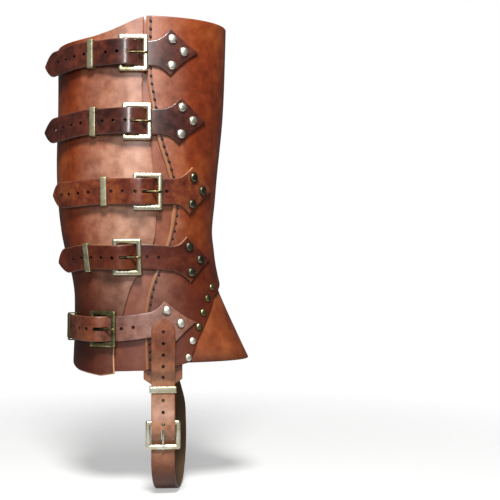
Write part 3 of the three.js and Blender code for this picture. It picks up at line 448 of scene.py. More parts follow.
fleshLook = {
    "dark": "3A2814", "light": "5E4428", "stops": (0.3, 0.7), "cloud": 30, "cloudShare": 0.5,
    "fibre": 2.2, "detail": 8, "fray": 0.7, "rough": (0.8, 0.95), "roughOver": (0.3, 0.7),
    "bump": 0.5, "bumpDepth": 0.4, "sheen": 0.15,
}
edgeLook = {
    "dark": "9A6840", "light": "D0A070", "stops": (0.35, 0.65), "cloud": 16, "cloudShare": 0.6,
    "fibre": 1.1, "detail": 6, "fray": 0.7, "rough": (0.55, 0.8), "roughOver": (0.3, 0.7),
    "bump": 0.4, "bumpDepth": 0.2, "sheen": 0,
}
threadLook = dict(edgeLook, dark="160A06", light="301810", cloudShare=0, fibre=0.6, detail=3, fray=0.5,
                  rough=(0.5, 0.7), bump=0)
fleshSide = openFibres("flesh side of the hide", fleshLook)
tanEdge = openFibres("raw tan cut edge", edgeLook)
darkEdge = openFibres("burnished cut edge", dict(edgeLook, dark="3A2018", light="6E4636"))
# Cut walls of the holes painted near-black: painted shade inside the holes.
holeShade = openFibres("painted shade inside a punched hole", dict(edgeLook, dark="1E0A06", light="38160C"))
thread = openFibres("waxed brown thread", threadLook)

# What all the metals share, then each one's colours from tarnish to bright face.
metalLook = {"stops": (0.32, 0.48, 0.6), "speck": 1.3, "patchShare": 0.7, "roughOver": (0.35, 0.65),
             "scratch": 1.6, "stretch": (1, 1, 7), "bump": 0.12, "bumpDepth": 0.1}
brass = platedMetal("pale antique brass", {
    "tarnish": "A69E78", "mid": "D2CDAE", "bright": "EEECDA", "patch": 14, "rough": (0.28, 0.38)})
# Darker brass for the prongs of the strap buckles.
prongBrass = platedMetal("brown-olive prong brass", {
    "tarnish": "2A2416", "mid": "4E462E", "bright": "847A56", "patch": 5, "rough": (0.3, 0.45)})
keeperBrass = platedMetal("satin antique brass", {
    "tarnish": "7A7450", "mid": "B8B490", "bright": "E0DDBE", "patch": 6, "rough": (0.42, 0.55)})
oldBrass = platedMetal("olive tarnished brass", {
    "tarnish": "3E3A24", "mid": "7C7650", "bright": "B4AE84", "patch": 7, "rough": (0.26, 0.48)})
nickel = platedMetal("bright nickel rivets", {
    "tarnish": "8A8674", "mid": "D6D2C0", "bright": "F4F2E8", "patch": 7, "rough": (0.38, 0.48)})
# Darker copy of the nickel: painted shade for the rivets of the spades that face away from the lights.
shadedNickel = platedMetal("grey-olive nickel darkened as shade", {
    "tarnish": "35352A", "mid": "5C5C4C", "bright": "86866F", "patch": 5, "rough": (0.26, 0.45)})
print("materials made")

# Making of pieces: leather, cutters, metal loops and rods.


def deselectAll():
    if bpy.context.object and bpy.context.object.mode != "OBJECT":
        bpy.ops.object.mode_set(mode="OBJECT")
    bpy.ops.object.select_all(action="DESELECT")


def takeActive(name):
    made = bpy.context.object
    made.name = name
    made.data.name = name
    return made


def applyModifier(piece, kind, settings):
    deselectAll()
    piece.select_set(True)
    bpy.context.view_layer.objects.active = piece
    modifier = piece.modifiers.new(kind.lower(), kind)
    for key, value in settings.items():
        setattr(modifier, key, value)
    bpy.ops.object.modifier_apply(modifier=modifier.name)


def joinPieces(name, pieces):
    deselectAll()
    for piece in pieces:
        piece.select_set(True)
    bpy.context.view_layer.objects.active = pieces[0]
    bpy.ops.object.join()
    return takeActive(name)


# Smooth shading, but sharp past an angle in degrees.
def smooth(piece, angle=35):
    deselectAll()
    piece.select_set(True)
    bpy.context.view_layer.objects.active = piece
    bpy.ops.object.shade_smooth_by_angle(angle=math.radians(angle))


# Leather: a grid laid on the points asked for, thickened behind, with rounded edges. Where skived
# gives a width and the share left, the grain side is pared on a slope down to the first edge.
def leatherPiece(name, columns, rows, pointAt, thickness, materials, skived=None):
    rounding = leather["rounding"]
    deselectAll()
    bpy.ops.mesh.primitive_grid_add(x_subdivisions=columns, y_subdivisions=rows, size=1)
    piece = takeActive(name)
    mesh = piece.data
    keys = [(round((v.co.x + 0.5) * columns), round((v.co.y + 0.5) * rows)) for v in mesh.vertices]
    points = np.zeros((columns + 1, rows + 1, 3))
    for i in range(columns + 1):
        for j in range(rows + 1):
            points[i, j] = pointAt(i, j)
    for vertex, key in zip(mesh.vertices, keys):
        vertex.co = Vector(points[key]) * metre

    def runs(axis):
        lengths = np.linalg.norm(np.diff(points, axis=axis), axis=2)
        start = np.zeros_like(np.take(points[:, :, 0], [0], axis=axis))
        run = np.concatenate([start, np.cumsum(lengths, axis=axis)], axis=axis)
        return run, np.minimum(run, np.take(run, [-1], axis=axis) - run)

    (alongRun, alongEdge), (acrossRun, acrossEdge) = runs(0), runs(1)
    edge = np.minimum(alongEdge, acrossEdge)
    distances = np.array([edge[key] for key in keys])
    fromStart = np.array([alongRun[key] for key in keys])
    layer = mesh.uv_layers.active.data
    for loop in mesh.loops:
        key = keys[loop.vertex_index]
        layer[loop.index].uv = (alongRun[key] * metre, acrossRun[key] * metre)
    attribute = mesh.attributes.new("edgeDistance", "FLOAT", "POINT")
    attribute.data.foreach_set("value", distances * metre)
    for material in materials:
        mesh.materials.append(material)
    applyModifier(piece, "SOLIDIFY", {"thickness": thickness * metre, "offset": -1, "use_even_offset": True,
                                      "material_offset": 1, "material_offset_rim": 2})
    count = len(keys)
    vertices = piece.data.vertices
    for index in range(count):
        away = min(distances[index] / rounding, 1)
        keep = max(math.sqrt(1 - (1 - away) ** 2), leather["edgeLeft"])
        face, back = vertices[index].co.copy(), vertices[index + count].co.copy()
        middle, half = (face + back) / 2, (face - back) / 2
        if skived and fromStart[index] < skived["width"]:
            keep = min(keep, mix(skived["left"], 1, fromStart[index] / skived["width"]))
            vertices[index].co = back + half * (keep + 1)
        else:
            vertices[index].co = middle + half * keep
            vertices[index + count].co = middle - half * keep
    if skived:
        layer = piece.data.attributes.new("skivedDistance", "FLOAT", "POINT")
        layer.data.foreach_set("value", np.concatenate([fromStart, fromStart]) * metre)
    return piece


# Cuts round holes, given as pins of (centre, direction, width, depth), and any other cutters out
# of a piece. The cut walls take its last material.
def cutHoles(piece, pins, extra=()):
    sides = 14
    cutters = list(extra)
    for centre, direction, width, depth in pins:
        deselectAll()
        turn = direction.to_track_quat("Z", "Y")
        bpy.ops.mesh.primitive_cylinder_add(vertices=sides, radius=width / 2 * metre, depth=depth * metre,
                                            location=centre * metre, rotation=turn.to_euler())
        cutters.append(bpy.context.object)
    cutter = joinPieces("cutter", cutters)
    cutter.data.materials.clear()
    for material in piece.data.materials:
        cutter.data.materials.append(material)
    for polygon in cutter.data.polygons:
        polygon.material_index = len(piece.data.materials) - 1
    applyModifier(piece, "BOOLEAN", {"operation": "DIFFERENCE", "solver": "MANIFOLD", "object": cutter})
    bpy.data.objects.remove(cutter)


# Box cutter in a frame, from its low corner to its high one.
def slotCutter(matrix, low, high):
    deselectAll()
    bpy.ops.mesh.primitive_cube_add(size=1)
    cube = bpy.context.object
    for vertex in cube.data.vertices:
        local = Vector([mix(low[k], high[k], vertex.co[k] + 0.5) for k in range(3)])
        vertex.co = (matrix @ local) * metre
    return cube


# Frame with its X along, its Y across and its Z out of the leather.
def frameAt(at, along, across):
    x = along.normalized()
    z = x.cross(across).normalized()
    y = z.cross(x)
    matrix = Matrix((x, y, z)).transposed().to_4x4()
    matrix.translation = at
    return matrix


def legFrame(turn, z, out):
    along = wrap(turn + 0.5, z, out, False) - wrap(turn - 0.5, z, out, False)
    across = wrap(turn, z + 1, out, False) - wrap(turn, z - 1, out, False)
    return frameAt(wrap(turn, z, out, False), along, across)


# Point of a rounded rectangle, moved outward by an offset, at a share of the way round.
def roundedLoop(halfX, halfY, corner, share, offset):
    leastBend = 0.25
    arc = 0.045  # share of the way round that a corner takes
    bend = max(corner + offset, leastBend)
    flatX, flatY = halfX + offset - bend, halfY + offset - bend
    straight = [halfY / (halfX + halfY) / 2, halfX / (halfX + halfY) / 2] * 2
    left = share
    signs = ((1, 1), (-1, 1), (-1, -1), (1, -1))
    for index, length in enumerate(straight):
        side = length - arc
        angle = index * math.pi / 2
        if left <= side:
            along = 2 * left / side - 1
            if index % 2 == 0:
                return Vector(((halfX + offset) * signs[index][0], along * flatY * signs[index][0]))
            return Vector((-along * flatX * signs[index - 1][0], (halfY + offset) * signs[index - 1][0]))
        left -= side
        if left <= arc or index == 3:
            angle += min(left / arc, 1) * math.pi / 2
            x, y = signs[index]
            return Vector((flatX * x + bend * math.cos(angle), flatY * y + bend * math.sin(angle)))
        left -= arc


# Closed metal loop: a torus whose rings follow a rounded rectangle, with a soft rectangle as section.
def metalLoop(name, shape, matrix, material, majors=96, minors=16, power=0.6):
    majorRadius = 2
    deselectAll()
    bpy.ops.mesh.primitive_torus_add(major_segments=majors, minor_segments=minors,
                                     major_radius=majorRadius, minor_radius=1)
    piece = takeActive(name)
    for vertex in piece.data.vertices:
        around = (math.atan2(vertex.co.y, vertex.co.x) / math.tau) % 1
        ring = math.hypot(vertex.co.x, vertex.co.y) - majorRadius
        angle = math.atan2(vertex.co.z, ring)
        c, s = math.cos(angle), math.sin(angle)
        inward = math.copysign(abs(c) ** power, c) * shape["face"]
        upward = math.copysign(abs(s) ** power, s) * shape["depth"]
        at = roundedLoop(shape["halfX"], shape["halfY"], shape["corner"], around, inward)
        vertex.co = (matrix @ Vector((at.x, at.y, upward))) * metre
    piece.data.materials.append(material)
    smooth(piece, 60)
    return piece


# Rod with round ends: a ball whose rings are moved along a path of (centre, side, up, radius).
def rod(name, stations, material, sides=12):
    endRise = 0.25
    deselectAll()
    rings = len(stations) + 1
    bpy.ops.mesh.primitive_uv_sphere_add(segments=sides, ring_count=rings, radius=1)
    piece = takeActive(name)
    for vertex in piece.data.vertices:
        level = round(math.acos(min(max(vertex.co.z, -1), 1)) / math.pi * rings)
        if level in (0, rings):
            end = stations[0] if level == 0 else stations[-1]
            beside = stations[1] if level == 0 else stations[-2]
            way = (end[0] - beside[0]).normalized()
            vertex.co = (end[0] + way * end[3] * endRise) * metre
            continue
        centre, side, up, radius = stations[level - 1]
        angle = math.atan2(vertex.co.y, vertex.co.x)
        vertex.co = (centre + (side * math.cos(angle) + up * math.sin(angle)) * radius) * metre
    piece.data.materials.append(material)
    deselectAll()
    piece.select_set(True)
    bpy.ops.object.mode_set(mode="EDIT")
    bpy.ops.mesh.select_all(action="SELECT")
    bpy.ops.mesh.normals_make_consistent(inside=False)
    bpy.ops.object.mode_set(mode="OBJECT")
    smooth(piece, 60)
    return piece


# Sets the body that a piece rides on, and hides the CAD nodes that it takes the place of.
def finishPiece(piece, slotName, *nodes):
    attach(piece, "root")
    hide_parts(*nodes)


# Rivets. Their back head is an outline by shares of its radius and height.
rivetBackRows = [(0.7, 0.85), (1, 0.3), (1, 0)]
rivet = {"head": 8.8, "dome": 2.6, "shank": 2.6, "room": 0.3, "backHead": 7, "backHeight": 1.2,
         "backRoom": 0.9, "headRoom": 0.5, "smallHead": 7, "smallDome": 2, "sides": 24,
         "lip": 0.3, "lipEdge": 0.25, "lipIn": 0.97, "domeSteps": 8, "domeFull": 0.7,
         "domeRise": 0.9, "flat": 0.05}
shankHole = rivet["shank"] + 2 * rivet["room"]


# Rivet turned on its axis: back head, shank, and a dome with a thin lip.
def rivetAt(matrix, head, dome, grip, material):
    radius = head / 2
    back = rivet["backHead"] / 2 * head / rivet["head"]
    inner = radius * rivet["lipIn"]
    profile = [(rivet["flat"], -rivet["backHeight"])]
    profile += [(back * wide, -rivet["backHeight"] * low) for wide, low in rivetBackRows]
    profile += [(rivet["shank"] / 2, 0), (rivet["shank"] / 2, grip), (inner, grip),
                (radius, grip + rivet["lipEdge"])]
    for step in range(1, rivet["domeSteps"]):
        angle = math.pi / 2 * step / rivet["domeSteps"]
        rise = (dome - rivet["lip"]) * math.sin(angle) ** rivet["domeRise"]
        profile.append((inner * math.cos(angle) ** rivet["domeFull"], grip + rivet["lip"] + rise))
    rings = len(profile) + 1
    deselectAll()
    bpy.ops.mesh.primitive_uv_sphere_add(segments=rivet["sides"], ring_count=rings, radius=1)
    piece = bpy.context.object
    for vertex in piece.data.vertices:
        level = round(math.acos(min(max(-vertex.co.z, -1), 1)) / math.pi * rings)
        if level in (0, rings):
            local = Vector((0, 0, -rivet["backHeight"] if level == 0 else grip + dome))
        else:
            reach, height = profile[level - 1]
            angle = math.atan2(vertex.co.y, vertex.co.x)
            local = Vector((reach * math.cos(angle), reach * math.sin(angle), height))
        vertex.co = (matrix @ local) * metre
    piece.data.materials.append(material)
    smooth(piece, 40)
    return piece


# Lap rivets each way from the shin's midline, from the top: degrees, share of height. Those from
# nickelFrom on are bright.
lapRows = [(25.2, 0.243), (34.4, 0.212), (43, 0.174), (49.7, 0.135), (56.5, 0.097), (61.3, 0.051)]
nickelFrom = 4
panelPins = []
flapPins = []
lapGrip = panelFace + rivet["headRoom"] + rivet["backRoom"]
for side, way in (("outer", -1), ("inner", 1)):
    for index, (turn, share) in enumerate(lapRows):
        matrix = legFrame(shinDirection + way * turn, legForm["height"] * share, -rivet["backRoom"])
        out = matrix.col[2].xyz
        pin = (matrix.translation.copy(), out, shankHole, 2 * (lapGrip + leather["strap"]))
        panelPins.append(pin)
        flapPins.append(pin)
        metal = nickel if index >= nickelFrom else oldBrass
        made = rivetAt(matrix, rivet["smallHead"], rivet["smallDome"], lapGrip, metal)
        made.name = f"{side}LapRivet{index + 1}"
        finishPiece(made, "rivet_metal", f"{side}_lap_rivet_{index + 1}")
print("lap rivets made")

# Buckled straps: sizes in millimetres and shares, then the levels that the pieces stack at.
strap = {"width": 24, "chapeWidth": 20, "tail": 13, "holePitch": 11, "holeWidth": 3.4, "holeAhead": 18.5,
         "spacing": 1.3, "endsRun": 60, "droopRun": 45, "sewnLength": 14, "sewnLead": 5, "tailPower": 0.85,
         "leastHalf": 0.5, "tipSteps": (0.15, 0.4, 0.8), "tipEnd": 1.2, "holeReach": 2}
spade = {"width": 44, "length": 28, "neck": 19, "tipRivet": 15.5, "rivetBack": 11.5, "rivetSpread": 12.5,
         "swell": 0.28, "neckPower": 2.2}
buckle = {"wire": 4, "span": 23, "room": 0.9, "corner": -0.1, "face": 2.4, "depth": 1.9,
          "prong": 2.4, "overhang": 2, "foldReturn": 9, "foldRoom": 0.2,
          "slotRoom": 0.5, "slotLead": 5.5, "slotEnd": 5.5, "slotBelow": 2, "slotAbove": 2.4,
          "landing": 0.54}
prong = {"curlFrom": -10, "curlTo": -240, "curlStep": -23, "steps": 8, "reach": 0.3, "thick": 1.05,
         "thin": 0.85, "tipDrop": 0.4, "tip": 0.55}
chapeFold = {"clear": 1, "lead": 2, "pinch": 0.5, "wedge": 2.5}
keeper = {"width": 6, "metal": 1.1, "room": 0.5, "lift": 0.6, "corner": 0.3, "roundness": 0.45}

halfSpan = buckle["span"] / 2
barLevel = strapFace + layers["gap"] + buckle["wire"] / 2
prongLevel = buckle["wire"] / 2 + layers["gap"] + buckle["prong"] / 2
crestBack = barLevel + prongLevel + buckle["prong"] / 2 + layers["gap"]
keeperBack = panelFace + layers["gap"] + keeper["lift"]
chapeBack = keeperBack + keeper["metal"] + layers["gap"]
billetOnChape = chapeBack + leather["chape"] + layers["gap"]
keeperFace = billetOnChape + leather["strap"] + layers["gap"] + keeper["metal"]

# Straps from the top: share of height, rise and droop of the ends, degrees at the buckle, at the
# spade's tip and where the tail leaves the leg; keeper, free tail and first hole in strap widths,
# and the holes ahead of the buckle.
strapRows = [
    {"height": 0.894, "rise": 0.011, "droop": -0.012, "buckle": 0.7, "spade": 44.5, "leave": -46,
     "keeper": 1.67, "free": 1.46, "first": 0.56, "holes": 0,
     "leather": darkStrapLeather, "edge": darkEdge,
     "metal": brass, "keeperMetal": keeperBrass, "rivets": nickel},
    {"height": 0.706, "rise": 0.009, "droop": -0.012, "buckle": 3.2, "spade": 53.5, "leave": -43,
     "keeper": 1.71, "free": 1.54, "first": 0.4, "holes": 0,
     "leather": darkStrapLeather, "edge": darkEdge,
     "metal": brass, "keeperMetal": keeperBrass, "rivets": nickel},
    {"height": 0.516, "rise": 0.007, "droop": -0.006, "buckle": 10.6, "spade": 68, "leave": -55,
     "keeper": 1.67, "free": 0.6, "first": 0.46, "holes": 1,
     "leather": midStrapLeather, "edge": tanEdge,
     "metal": brass, "keeperMetal": keeperBrass, "rivets": shadedNickel},
    {"height": 0.337, "rise": -0.011, "droop": -0.014, "buckle": -4.2, "spade": 67, "leave": -46,
     "keeper": 1.62, "free": 1.12, "first": 0.5, "holes": 2,
     "leather": strapLeather, "edge": tanEdge,
     "metal": brass, "keeperMetal": keeperBrass, "rivets": shadedNickel},
    {"height": 0.134, "rise": 0.014, "droop": -0.006, "buckle": -25.8, "spade": 38.2, "leave": -104,
     "keeper": 1.87, "free": 0, "first": 0.52, "holes": 2,
     "leather": lowStrapLeather, "edge": darkEdge,
     "metal": oldBrass, "keeperMetal": oldBrass, "rivets": nickel},
]

# Billet over its buckle: shares of the buckle's span along, and of the climb or the fall.
climbRows = [(-1.07, 0.37), (-0.72, 0.83), (-0.46, 1)]
fallRows = [(-0.2, 0.03), (0.08, 0.41), (0.24, 0.81), (0.37, 1)]
landing = buckle["span"] * buckle["landing"]


# Strap mapping: distance along the leg from the buckle's centre, across, and out. Past the place
# where the tail leaves the leg it runs straight on.
def strapMap(row):
    z = legForm["height"] * row["height"]
    keeperAt = strap["width"] * row["keeper"]
    reach = math.ceil(legForm["back"] + legForm["front"])
    ahead, behind = [row["buckle"]], [row["buckle"]]
    for i in range(reach):
        level = barLevel if i < halfSpan + buckle["wire"] else strapBack
        ahead.append(ahead[i] + 1 / lengthPerDegree(ahead[i], z, level))
        behind.append(behind[i] - 1 / lengthPerDegree(behind[i], z, level))

    def turnAt(along):
        turns = ahead if along > 0 else behind
        far = min(abs(along), reach - 1)
        low = math.floor(far)
        return mix(turns[low], turns[low + 1], far - low)

    def distanceTo(turn):
        turns = ahead if turn > row["buckle"] else behind
        i = 0
        while i < reach and abs(turns[i] - row["buckle"]) < abs(turn - row["buckle"]):
            i += 1
        return i if turn > row["buckle"] else -i

    def onLeg(along, across, out, dented):
        rise = row["rise"] * smoothStep(along, halfSpan, strap["endsRun"])
        droop = row["droop"] * smoothStep(-along, keeperAt, keeperAt + strap["droopRun"])
        height = z + legForm["height"] * rise + legForm["height"] * droop
        return wrap(turnAt(along), height + across, out, dented)

    leaveAt = distanceTo(row["leave"])
    away = (onLeg(leaveAt, 0, strapFace, False) - onLeg(leaveAt + 1, 0, strapFace, False)).normalized()

    def point(along, across, out, dented=False):
        if along >= leaveAt:
            return onLeg(along, across, out, dented)
        return onLeg(leaveAt, across, out, dented) + away * (leaveAt - along)

    def frameOf(along, across, out):
        ahead = point(along + 1, across, out) - point(along - 1, across, out)
        up = point(along, across + 1, out) - point(along, across - 1, out)
        return frameAt(point(along, across, out), ahead, up)

    return point, distanceTo, frameOf, keeperAt, leaveAt - strap["width"] * row["free"]


def buckleFrame(point):
    left, right = point(-halfSpan, 0, barLevel), point(halfSpan, 0, barLevel)
    return frameAt((left + right) / 2, right - left, point(0, 1, barLevel) - point(0, -1, barLevel))


# Half widths by distance from the tip: a rounded tail, and a spade that flares from its neck.
def tailHalfWidth(fromTip, width):
    t = min(max(fromTip, 0) / strap["tail"], 1)
    return max(width / 2 * math.sin(t * math.pi / 2) ** strap["tailPower"], strap["leastHalf"])


def spadeHalfWidth(fromTip):
    t = max(fromTip, 0) / spade["length"]
    if t <= 1:
        return max(spade["width"] / 2 * (t + spade["swell"] * (t * t - t)), strap["leastHalf"])
    neck = min((fromTip - spade["length"]) / spade["neck"], 1)
    return strap["width"] / 2 + (spade["width"] - strap["width"]) / 2 * (1 - neck) ** spade["neckPower"]


# Places (along, level) of a billet from its keeper over the buckle's bar down to the panel.
def billetPlaces(keeperAt):
    flat = strapBack + leather["strap"] / 2
    crest = crestBack + leather["strap"] / 2
    onChape = billetOnChape + leather["strap"] / 2
    span = buckle["span"]
    places = [(-keeperAt - keeper["width"], onChape + buckle["foldRoom"])]
    places.append((-keeperAt + keeper["width"], onChape))
    places += [(span * along, mix(onChape, crest, climb)) for along, climb in climbRows]
    places += [(span * along, mix(crest, flat, fall)) for along, fall in fallRows]
    return places + [(landing, flat)]


# Places (along, level) of a chape: sewn end, run under the keeper, and half a turn round the bar.
def chapePlaces(keeperAt, sewnEnd, sewnLevel):
    bar = -halfSpan
    turnRadius = buckle["wire"] / 2 + layers["gap"] + buckle["foldRoom"] + leather["chape"] / 2
    level = chapeBack + leather["chape"] / 2
    fold = [(bar + turnRadius * math.cos(a), barLevel + turnRadius * math.sin(a))
            for a in (math.radians(d) for d in range(-90, 91, 30))]
    underKeeper = keeper["width"] / 2 + chapeFold["clear"]
    back, halfBack = bar - buckle["foldReturn"], bar - buckle["foldReturn"] / 2
    places = [(sewnEnd, sewnLevel), (sewnEnd + strap["sewnLead"], sewnLevel),
              (-keeperAt - underKeeper, level), (-keeperAt + underKeeper, level),
              (back - chapeFold["lead"], level), (halfBack, barLevel - turnRadius)]
    ends = [(halfBack, barLevel + turnRadius - chapeFold["pinch"]),
            (back, barLevel + turnRadius - chapeFold["wedge"])]
    return places + fold + ends


# Places across a strap from one edge to the other, as shares of its half width.
def acrossPlaces(width, count=9):
    return [place * 2 / width - 1 for place in edgedPlaces(width, width / count)]


# Band of leather that follows a path of (along, level) pairs on a mapping.
def band(name, path, thickness, halfAt, point, materials, width):
    places = acrossPlaces(width)
    halves = [halfAt(along) for along, level in path]

    def pointAt(i, j):
        along, level = path[i]
        before, after = path[max(i - 1, 0)], path[min(i + 1, len(path) - 1)]
        way = Vector((after[0] - before[0], after[1] - before[1])).normalized()
        half = thickness / 2
        return point(along - way.y * half, places[j] * halves[i], level + way.x * half, True)

    return leatherPiece(name, len(path) - 1, len(places) - 1, pointAt, thickness, materials)


# Level of a path at the place that lies nearest.
def levelOn(path, along):
    return min(path, key=lambda place: abs(place[0] - along))[1]


# Buckle, prong and keeper of a strap. Gives back the buckle's frame.
def addBuckle(label, point, frameOf, keeperAt, width, metal, keeperMetal):
    matrix = buckleFrame(point)
    turned = matrix.to_3x3()
    halfAcross = width / 2 + buckle["room"] + buckle["wire"] / 2
    parts = label.split("_")
    plain = parts[0] + "".join(part.capitalize() for part in parts[1:])

    shape = {"halfX": halfSpan, "halfY": halfAcross, "corner": buckle["corner"],
             "face": buckle["face"], "depth": buckle["depth"]}
    made = metalLoop(f"{plain}Buckle", shape, matrix, metal)
    finishPiece(made, "buckle_metal", f"{label}_buckle")

    radius = buckle["prong"] / 2
    curl = range(prong["curlFrom"], prong["curlTo"] - 1, prong["curlStep"])
    places = [(-halfSpan + prongLevel * math.cos(a), prongLevel * math.sin(a), radius)
              for a in (math.radians(d) for d in curl)]
    for step in range(prong["steps"] + 1):
        share = step / prong["steps"]
        x = mix(-halfSpan, halfSpan + buckle["overhang"] * prong["reach"], share)
        places.append((x, prongLevel, radius * mix(prong["thick"], prong["thin"], share)))
    places.append((halfSpan + buckle["overhang"], prongLevel - prong["tipDrop"], radius * prong["tip"]))
    stations = []
    for i, (x, z, size) in enumerate(places):
        before, after = places[max(i - 1, 0)], places[min(i + 1, len(places) - 1)]
        way = Vector((after[0] - before[0], 0, after[1] - before[1])).normalized()
        stations.append((matrix @ Vector((x, 0, z)), turned @ Vector((0, 1, 0)),
                         turned @ Vector((-way.z, 0, way.x)), size))
    prongMetal = metal if label == "stirrup" else prongBrass
    finishPiece(rod(f"{plain}Prong", stations, prongMetal), "buckle_metal", f"{label}_prong")

    # The keeper's loop stands crosswise round the strap, so the frame's axes change places.
    middle = (keeperBack + keeperFace) / 2
    seat = frameOf(-keeperAt, 0, middle)
    seatTurn = seat.to_3x3()
    halfY = width / 2 + keeper["room"] + keeper["metal"] / 2
    halfZ = keeperFace - middle - keeper["metal"] / 2

    crosswise = seatTurn.to_4x4() @ Matrix(((0, 0, 1, 0), (1, 0, 0, 0), (0, 1, 0, 0), (0, 0, 0, 1)))
    crosswise.translation = seat.translation
    shape = {"halfX": halfY, "halfY": halfZ, "corner": keeper["corner"],
             "face": keeper["metal"] / 2, "depth": keeper["width"] / 2}
    made = metalLoop(f"{plain}Keeper", shape, crosswise, keeperMetal, majors=72, power=keeper["roundness"])
    finishPiece(made, "buckle_metal", f"{label}_keeper")
    return matrix


# Slots in billet and chape that the prong passes through, and pins for holes.
def prongSlot(matrix, low, high):
    half = buckle["prong"] / 2 + buckle["slotRoom"]
    below, above = buckle["wire"] * buckle["slotBelow"], buckle["wire"] * buckle["slotAbove"]
    return slotCutter(matrix, (low, -half, -below), (high, half, above))


def billetSlot(matrix):
    return prongSlot(matrix, -halfSpan + buckle["slotLead"], buckle["slotEnd"])


def chapeSlot(matrix):
    half = prongLevel + buckle["prong"] / 2 + layers["gap"]
    return prongSlot(matrix, -halfSpan - half, -halfSpan + half + buckle["wire"] / 2)


def pinAt(matrix, width, depth):
    return matrix.translation.copy(), matrix.col[2].xyz, width, depth


for number, row in enumerate(strapRows, 1):
    label = f"strap_{number}"
    point, distanceTo, frameOf, keeperAt, tailTip = strapMap(row)
    spadeTip = distanceTo(row["spade"])
    flat = strapBack + leather["strap"] / 2
    onChape = billetOnChape + leather["strap"] / 2
    path = easedPath([(tailTip, onChape)] + billetPlaces(keeperAt), strap["spacing"])
    first, second = path[0][1], path[1][1]
    tip = [(tailTip + step, mix(first, second, step / strap["spacing"])) for step in strap["tipSteps"]]
    path = path[:1] + tip + path[1:]
    spadeStart = spadeTip - spade["length"]
    stops = [landing, spadeStart - spade["neck"], spadeStart, spadeTip - strap["tipEnd"]]
    for low, high in zip(stops, stops[1:]):
        count = max(2, math.ceil((high - low) / strap["spacing"]))
        path += [(mix(low, high, i / count), flat) for i in range(1, count + 1)]
    path += [(spadeTip - step, flat) for step in (*reversed(strap["tipSteps"]), 0)]

    def halfAt(along):
        if along > landing:
            return spadeHalfWidth(spadeTip - along)
        return tailHalfWidth(along - tailTip, strap["width"]) if along < -keeperAt else strap["width"] / 2

    materials = [row["leather"], fleshSide, row["edge"], holeShade]
    billet = band(f"strap{number}Billet", path, leather["strap"], halfAt, point, materials, strap["width"])
    matrix = addBuckle(label, point, frameOf, keeperAt, strap["width"], row["metal"], row["keeperMetal"])

    pins = []
    holeDepth = leather["strap"] * strap["holeReach"]
    along = -strap["width"] * row["first"]
    while along > tailTip + strap["tail"]:
        if abs(along + keeperAt) > (keeper["width"] + strap["holeWidth"]) / 2:
            pins.append(pinAt(frameOf(along, 0, levelOn(path, along)), strap["holeWidth"], holeDepth))
        along -= strap["holePitch"]
    for i in range(row["holes"]):
        along = strap["holeAhead"] + i * strap["holePitch"]
        pins.append(pinAt(frameOf(along, 0, flat), strap["holeWidth"], holeDepth))

    grip = strapFace + rivet["headRoom"] - panelInside + rivet["backRoom"]
    rivets = []
    ahead = spadeTip - spade["tipRivet"]
    back = ahead - spade["rivetBack"]
    for along, across in ((ahead, 0), (back, spade["rivetSpread"]), (back, -spade["rivetSpread"])):
        seat = frameOf(along, across, panelInside - rivet["backRoom"])
        pin = pinAt(seat, shankHole, 2 * (grip + leather["strap"]))
        pins.append(pin)
        panelPins.append(pin)
        rivets.append(rivetAt(seat, rivet["head"], rivet["dome"], grip, row["rivets"]))
    cutHoles(billet, pins, [billetSlot(matrix)])
    smooth(billet)
    finishPiece(billet, "strap_leather", f"{label}_billet")
    made = joinPieces(f"strap{number}Rivets", rivets)
    finishPiece(made, "rivet_metal", *[f"{label}_rivet_{i}" for i in (1, 2, 3)])

    sewnEnd = -keeperAt - keeper["width"] / 2 - strap["sewnLength"]
    sewnLevel = panelFace + layers["gap"] + leather["chape"] / 2
    chapePath = easedPath(chapePlaces(keeperAt, sewnEnd, sewnLevel), strap["spacing"])
    chape = band(f"strap{number}Chape", chapePath, leather["chape"], lambda along: strap["chapeWidth"] / 2,
                 point, materials, strap["chapeWidth"])
    cutHoles(chape, [], [chapeSlot(matrix)])
    smooth(chape)
    finishPiece(chape, "strap_leather", f"{label}_chape")
    print("strap", number, "made")

# Leg panel, gusset and flap. The panel's columns run from the seam round the shin, the inner side
# and the calf to its other edge, and all of them keep their share of the way round.
panel = {"seamMargin": 4, "columnSpacing": 1.9, "rowSpacing": 3, "skiveWidth": 2.4, "skiveLeft": 0.35,
         "around": 400, "lowest": 0.01}


def shinTurn(z):
    seam = seamTurn(z)
    return seam - panel["seamMargin"] / lengthPerDegree(seam, z, panelFace)


def panelPoints():
    around = panel["around"]
    acrossShares = [place / around for place in edgedPlaces(around, panel["columnSpacing"])]
    height = legForm["height"]
    upShares = [place / height for place in edgedPlaces(height, panel["rowSpacing"])]
    lowest = height * panel["lowest"]
    lowStart, lowEnd = shinTurn(lowest) - 360, calfTurn(lowest)
    grid = []
    ends = {}
    for share in acrossShares:
        turn = mix(lowStart, lowEnd, share)
        bottom = height * readRows(rimRows, 2, turn, False)
        highTurn = mix(shinTurn(height) - 360, calfTurn(height), share)
        top = height * readRows(rimRows, 1, highTurn, True)
        column = []
        for up in upShares:
            z = mix(bottom, top, up)
            key = round(z, 1)
            if key not in ends:
                ends[key] = (shinTurn(key) - 360, calfTurn(key))
            start, end = ends[key]
            column.append(wrap(mix(start, end, share), z, panelFace))
        grid.append(column)
    return grid


points = panelPoints()
legPanel = leatherPiece("legPanel", len(points) - 1, len(points[0]) - 1, lambda i, j: points[i][j],
                        leather["panel"], [panelLeather, fleshSide, tanEdge, holeShade],
                        {"width": panel["skiveWidth"], "left": panel["skiveLeft"]})
cutHoles(legPanel, panelPins)
smooth(legPanel)
finishPiece(legPanel, "panel_leather", "leg_panel")
print("leg panel made")

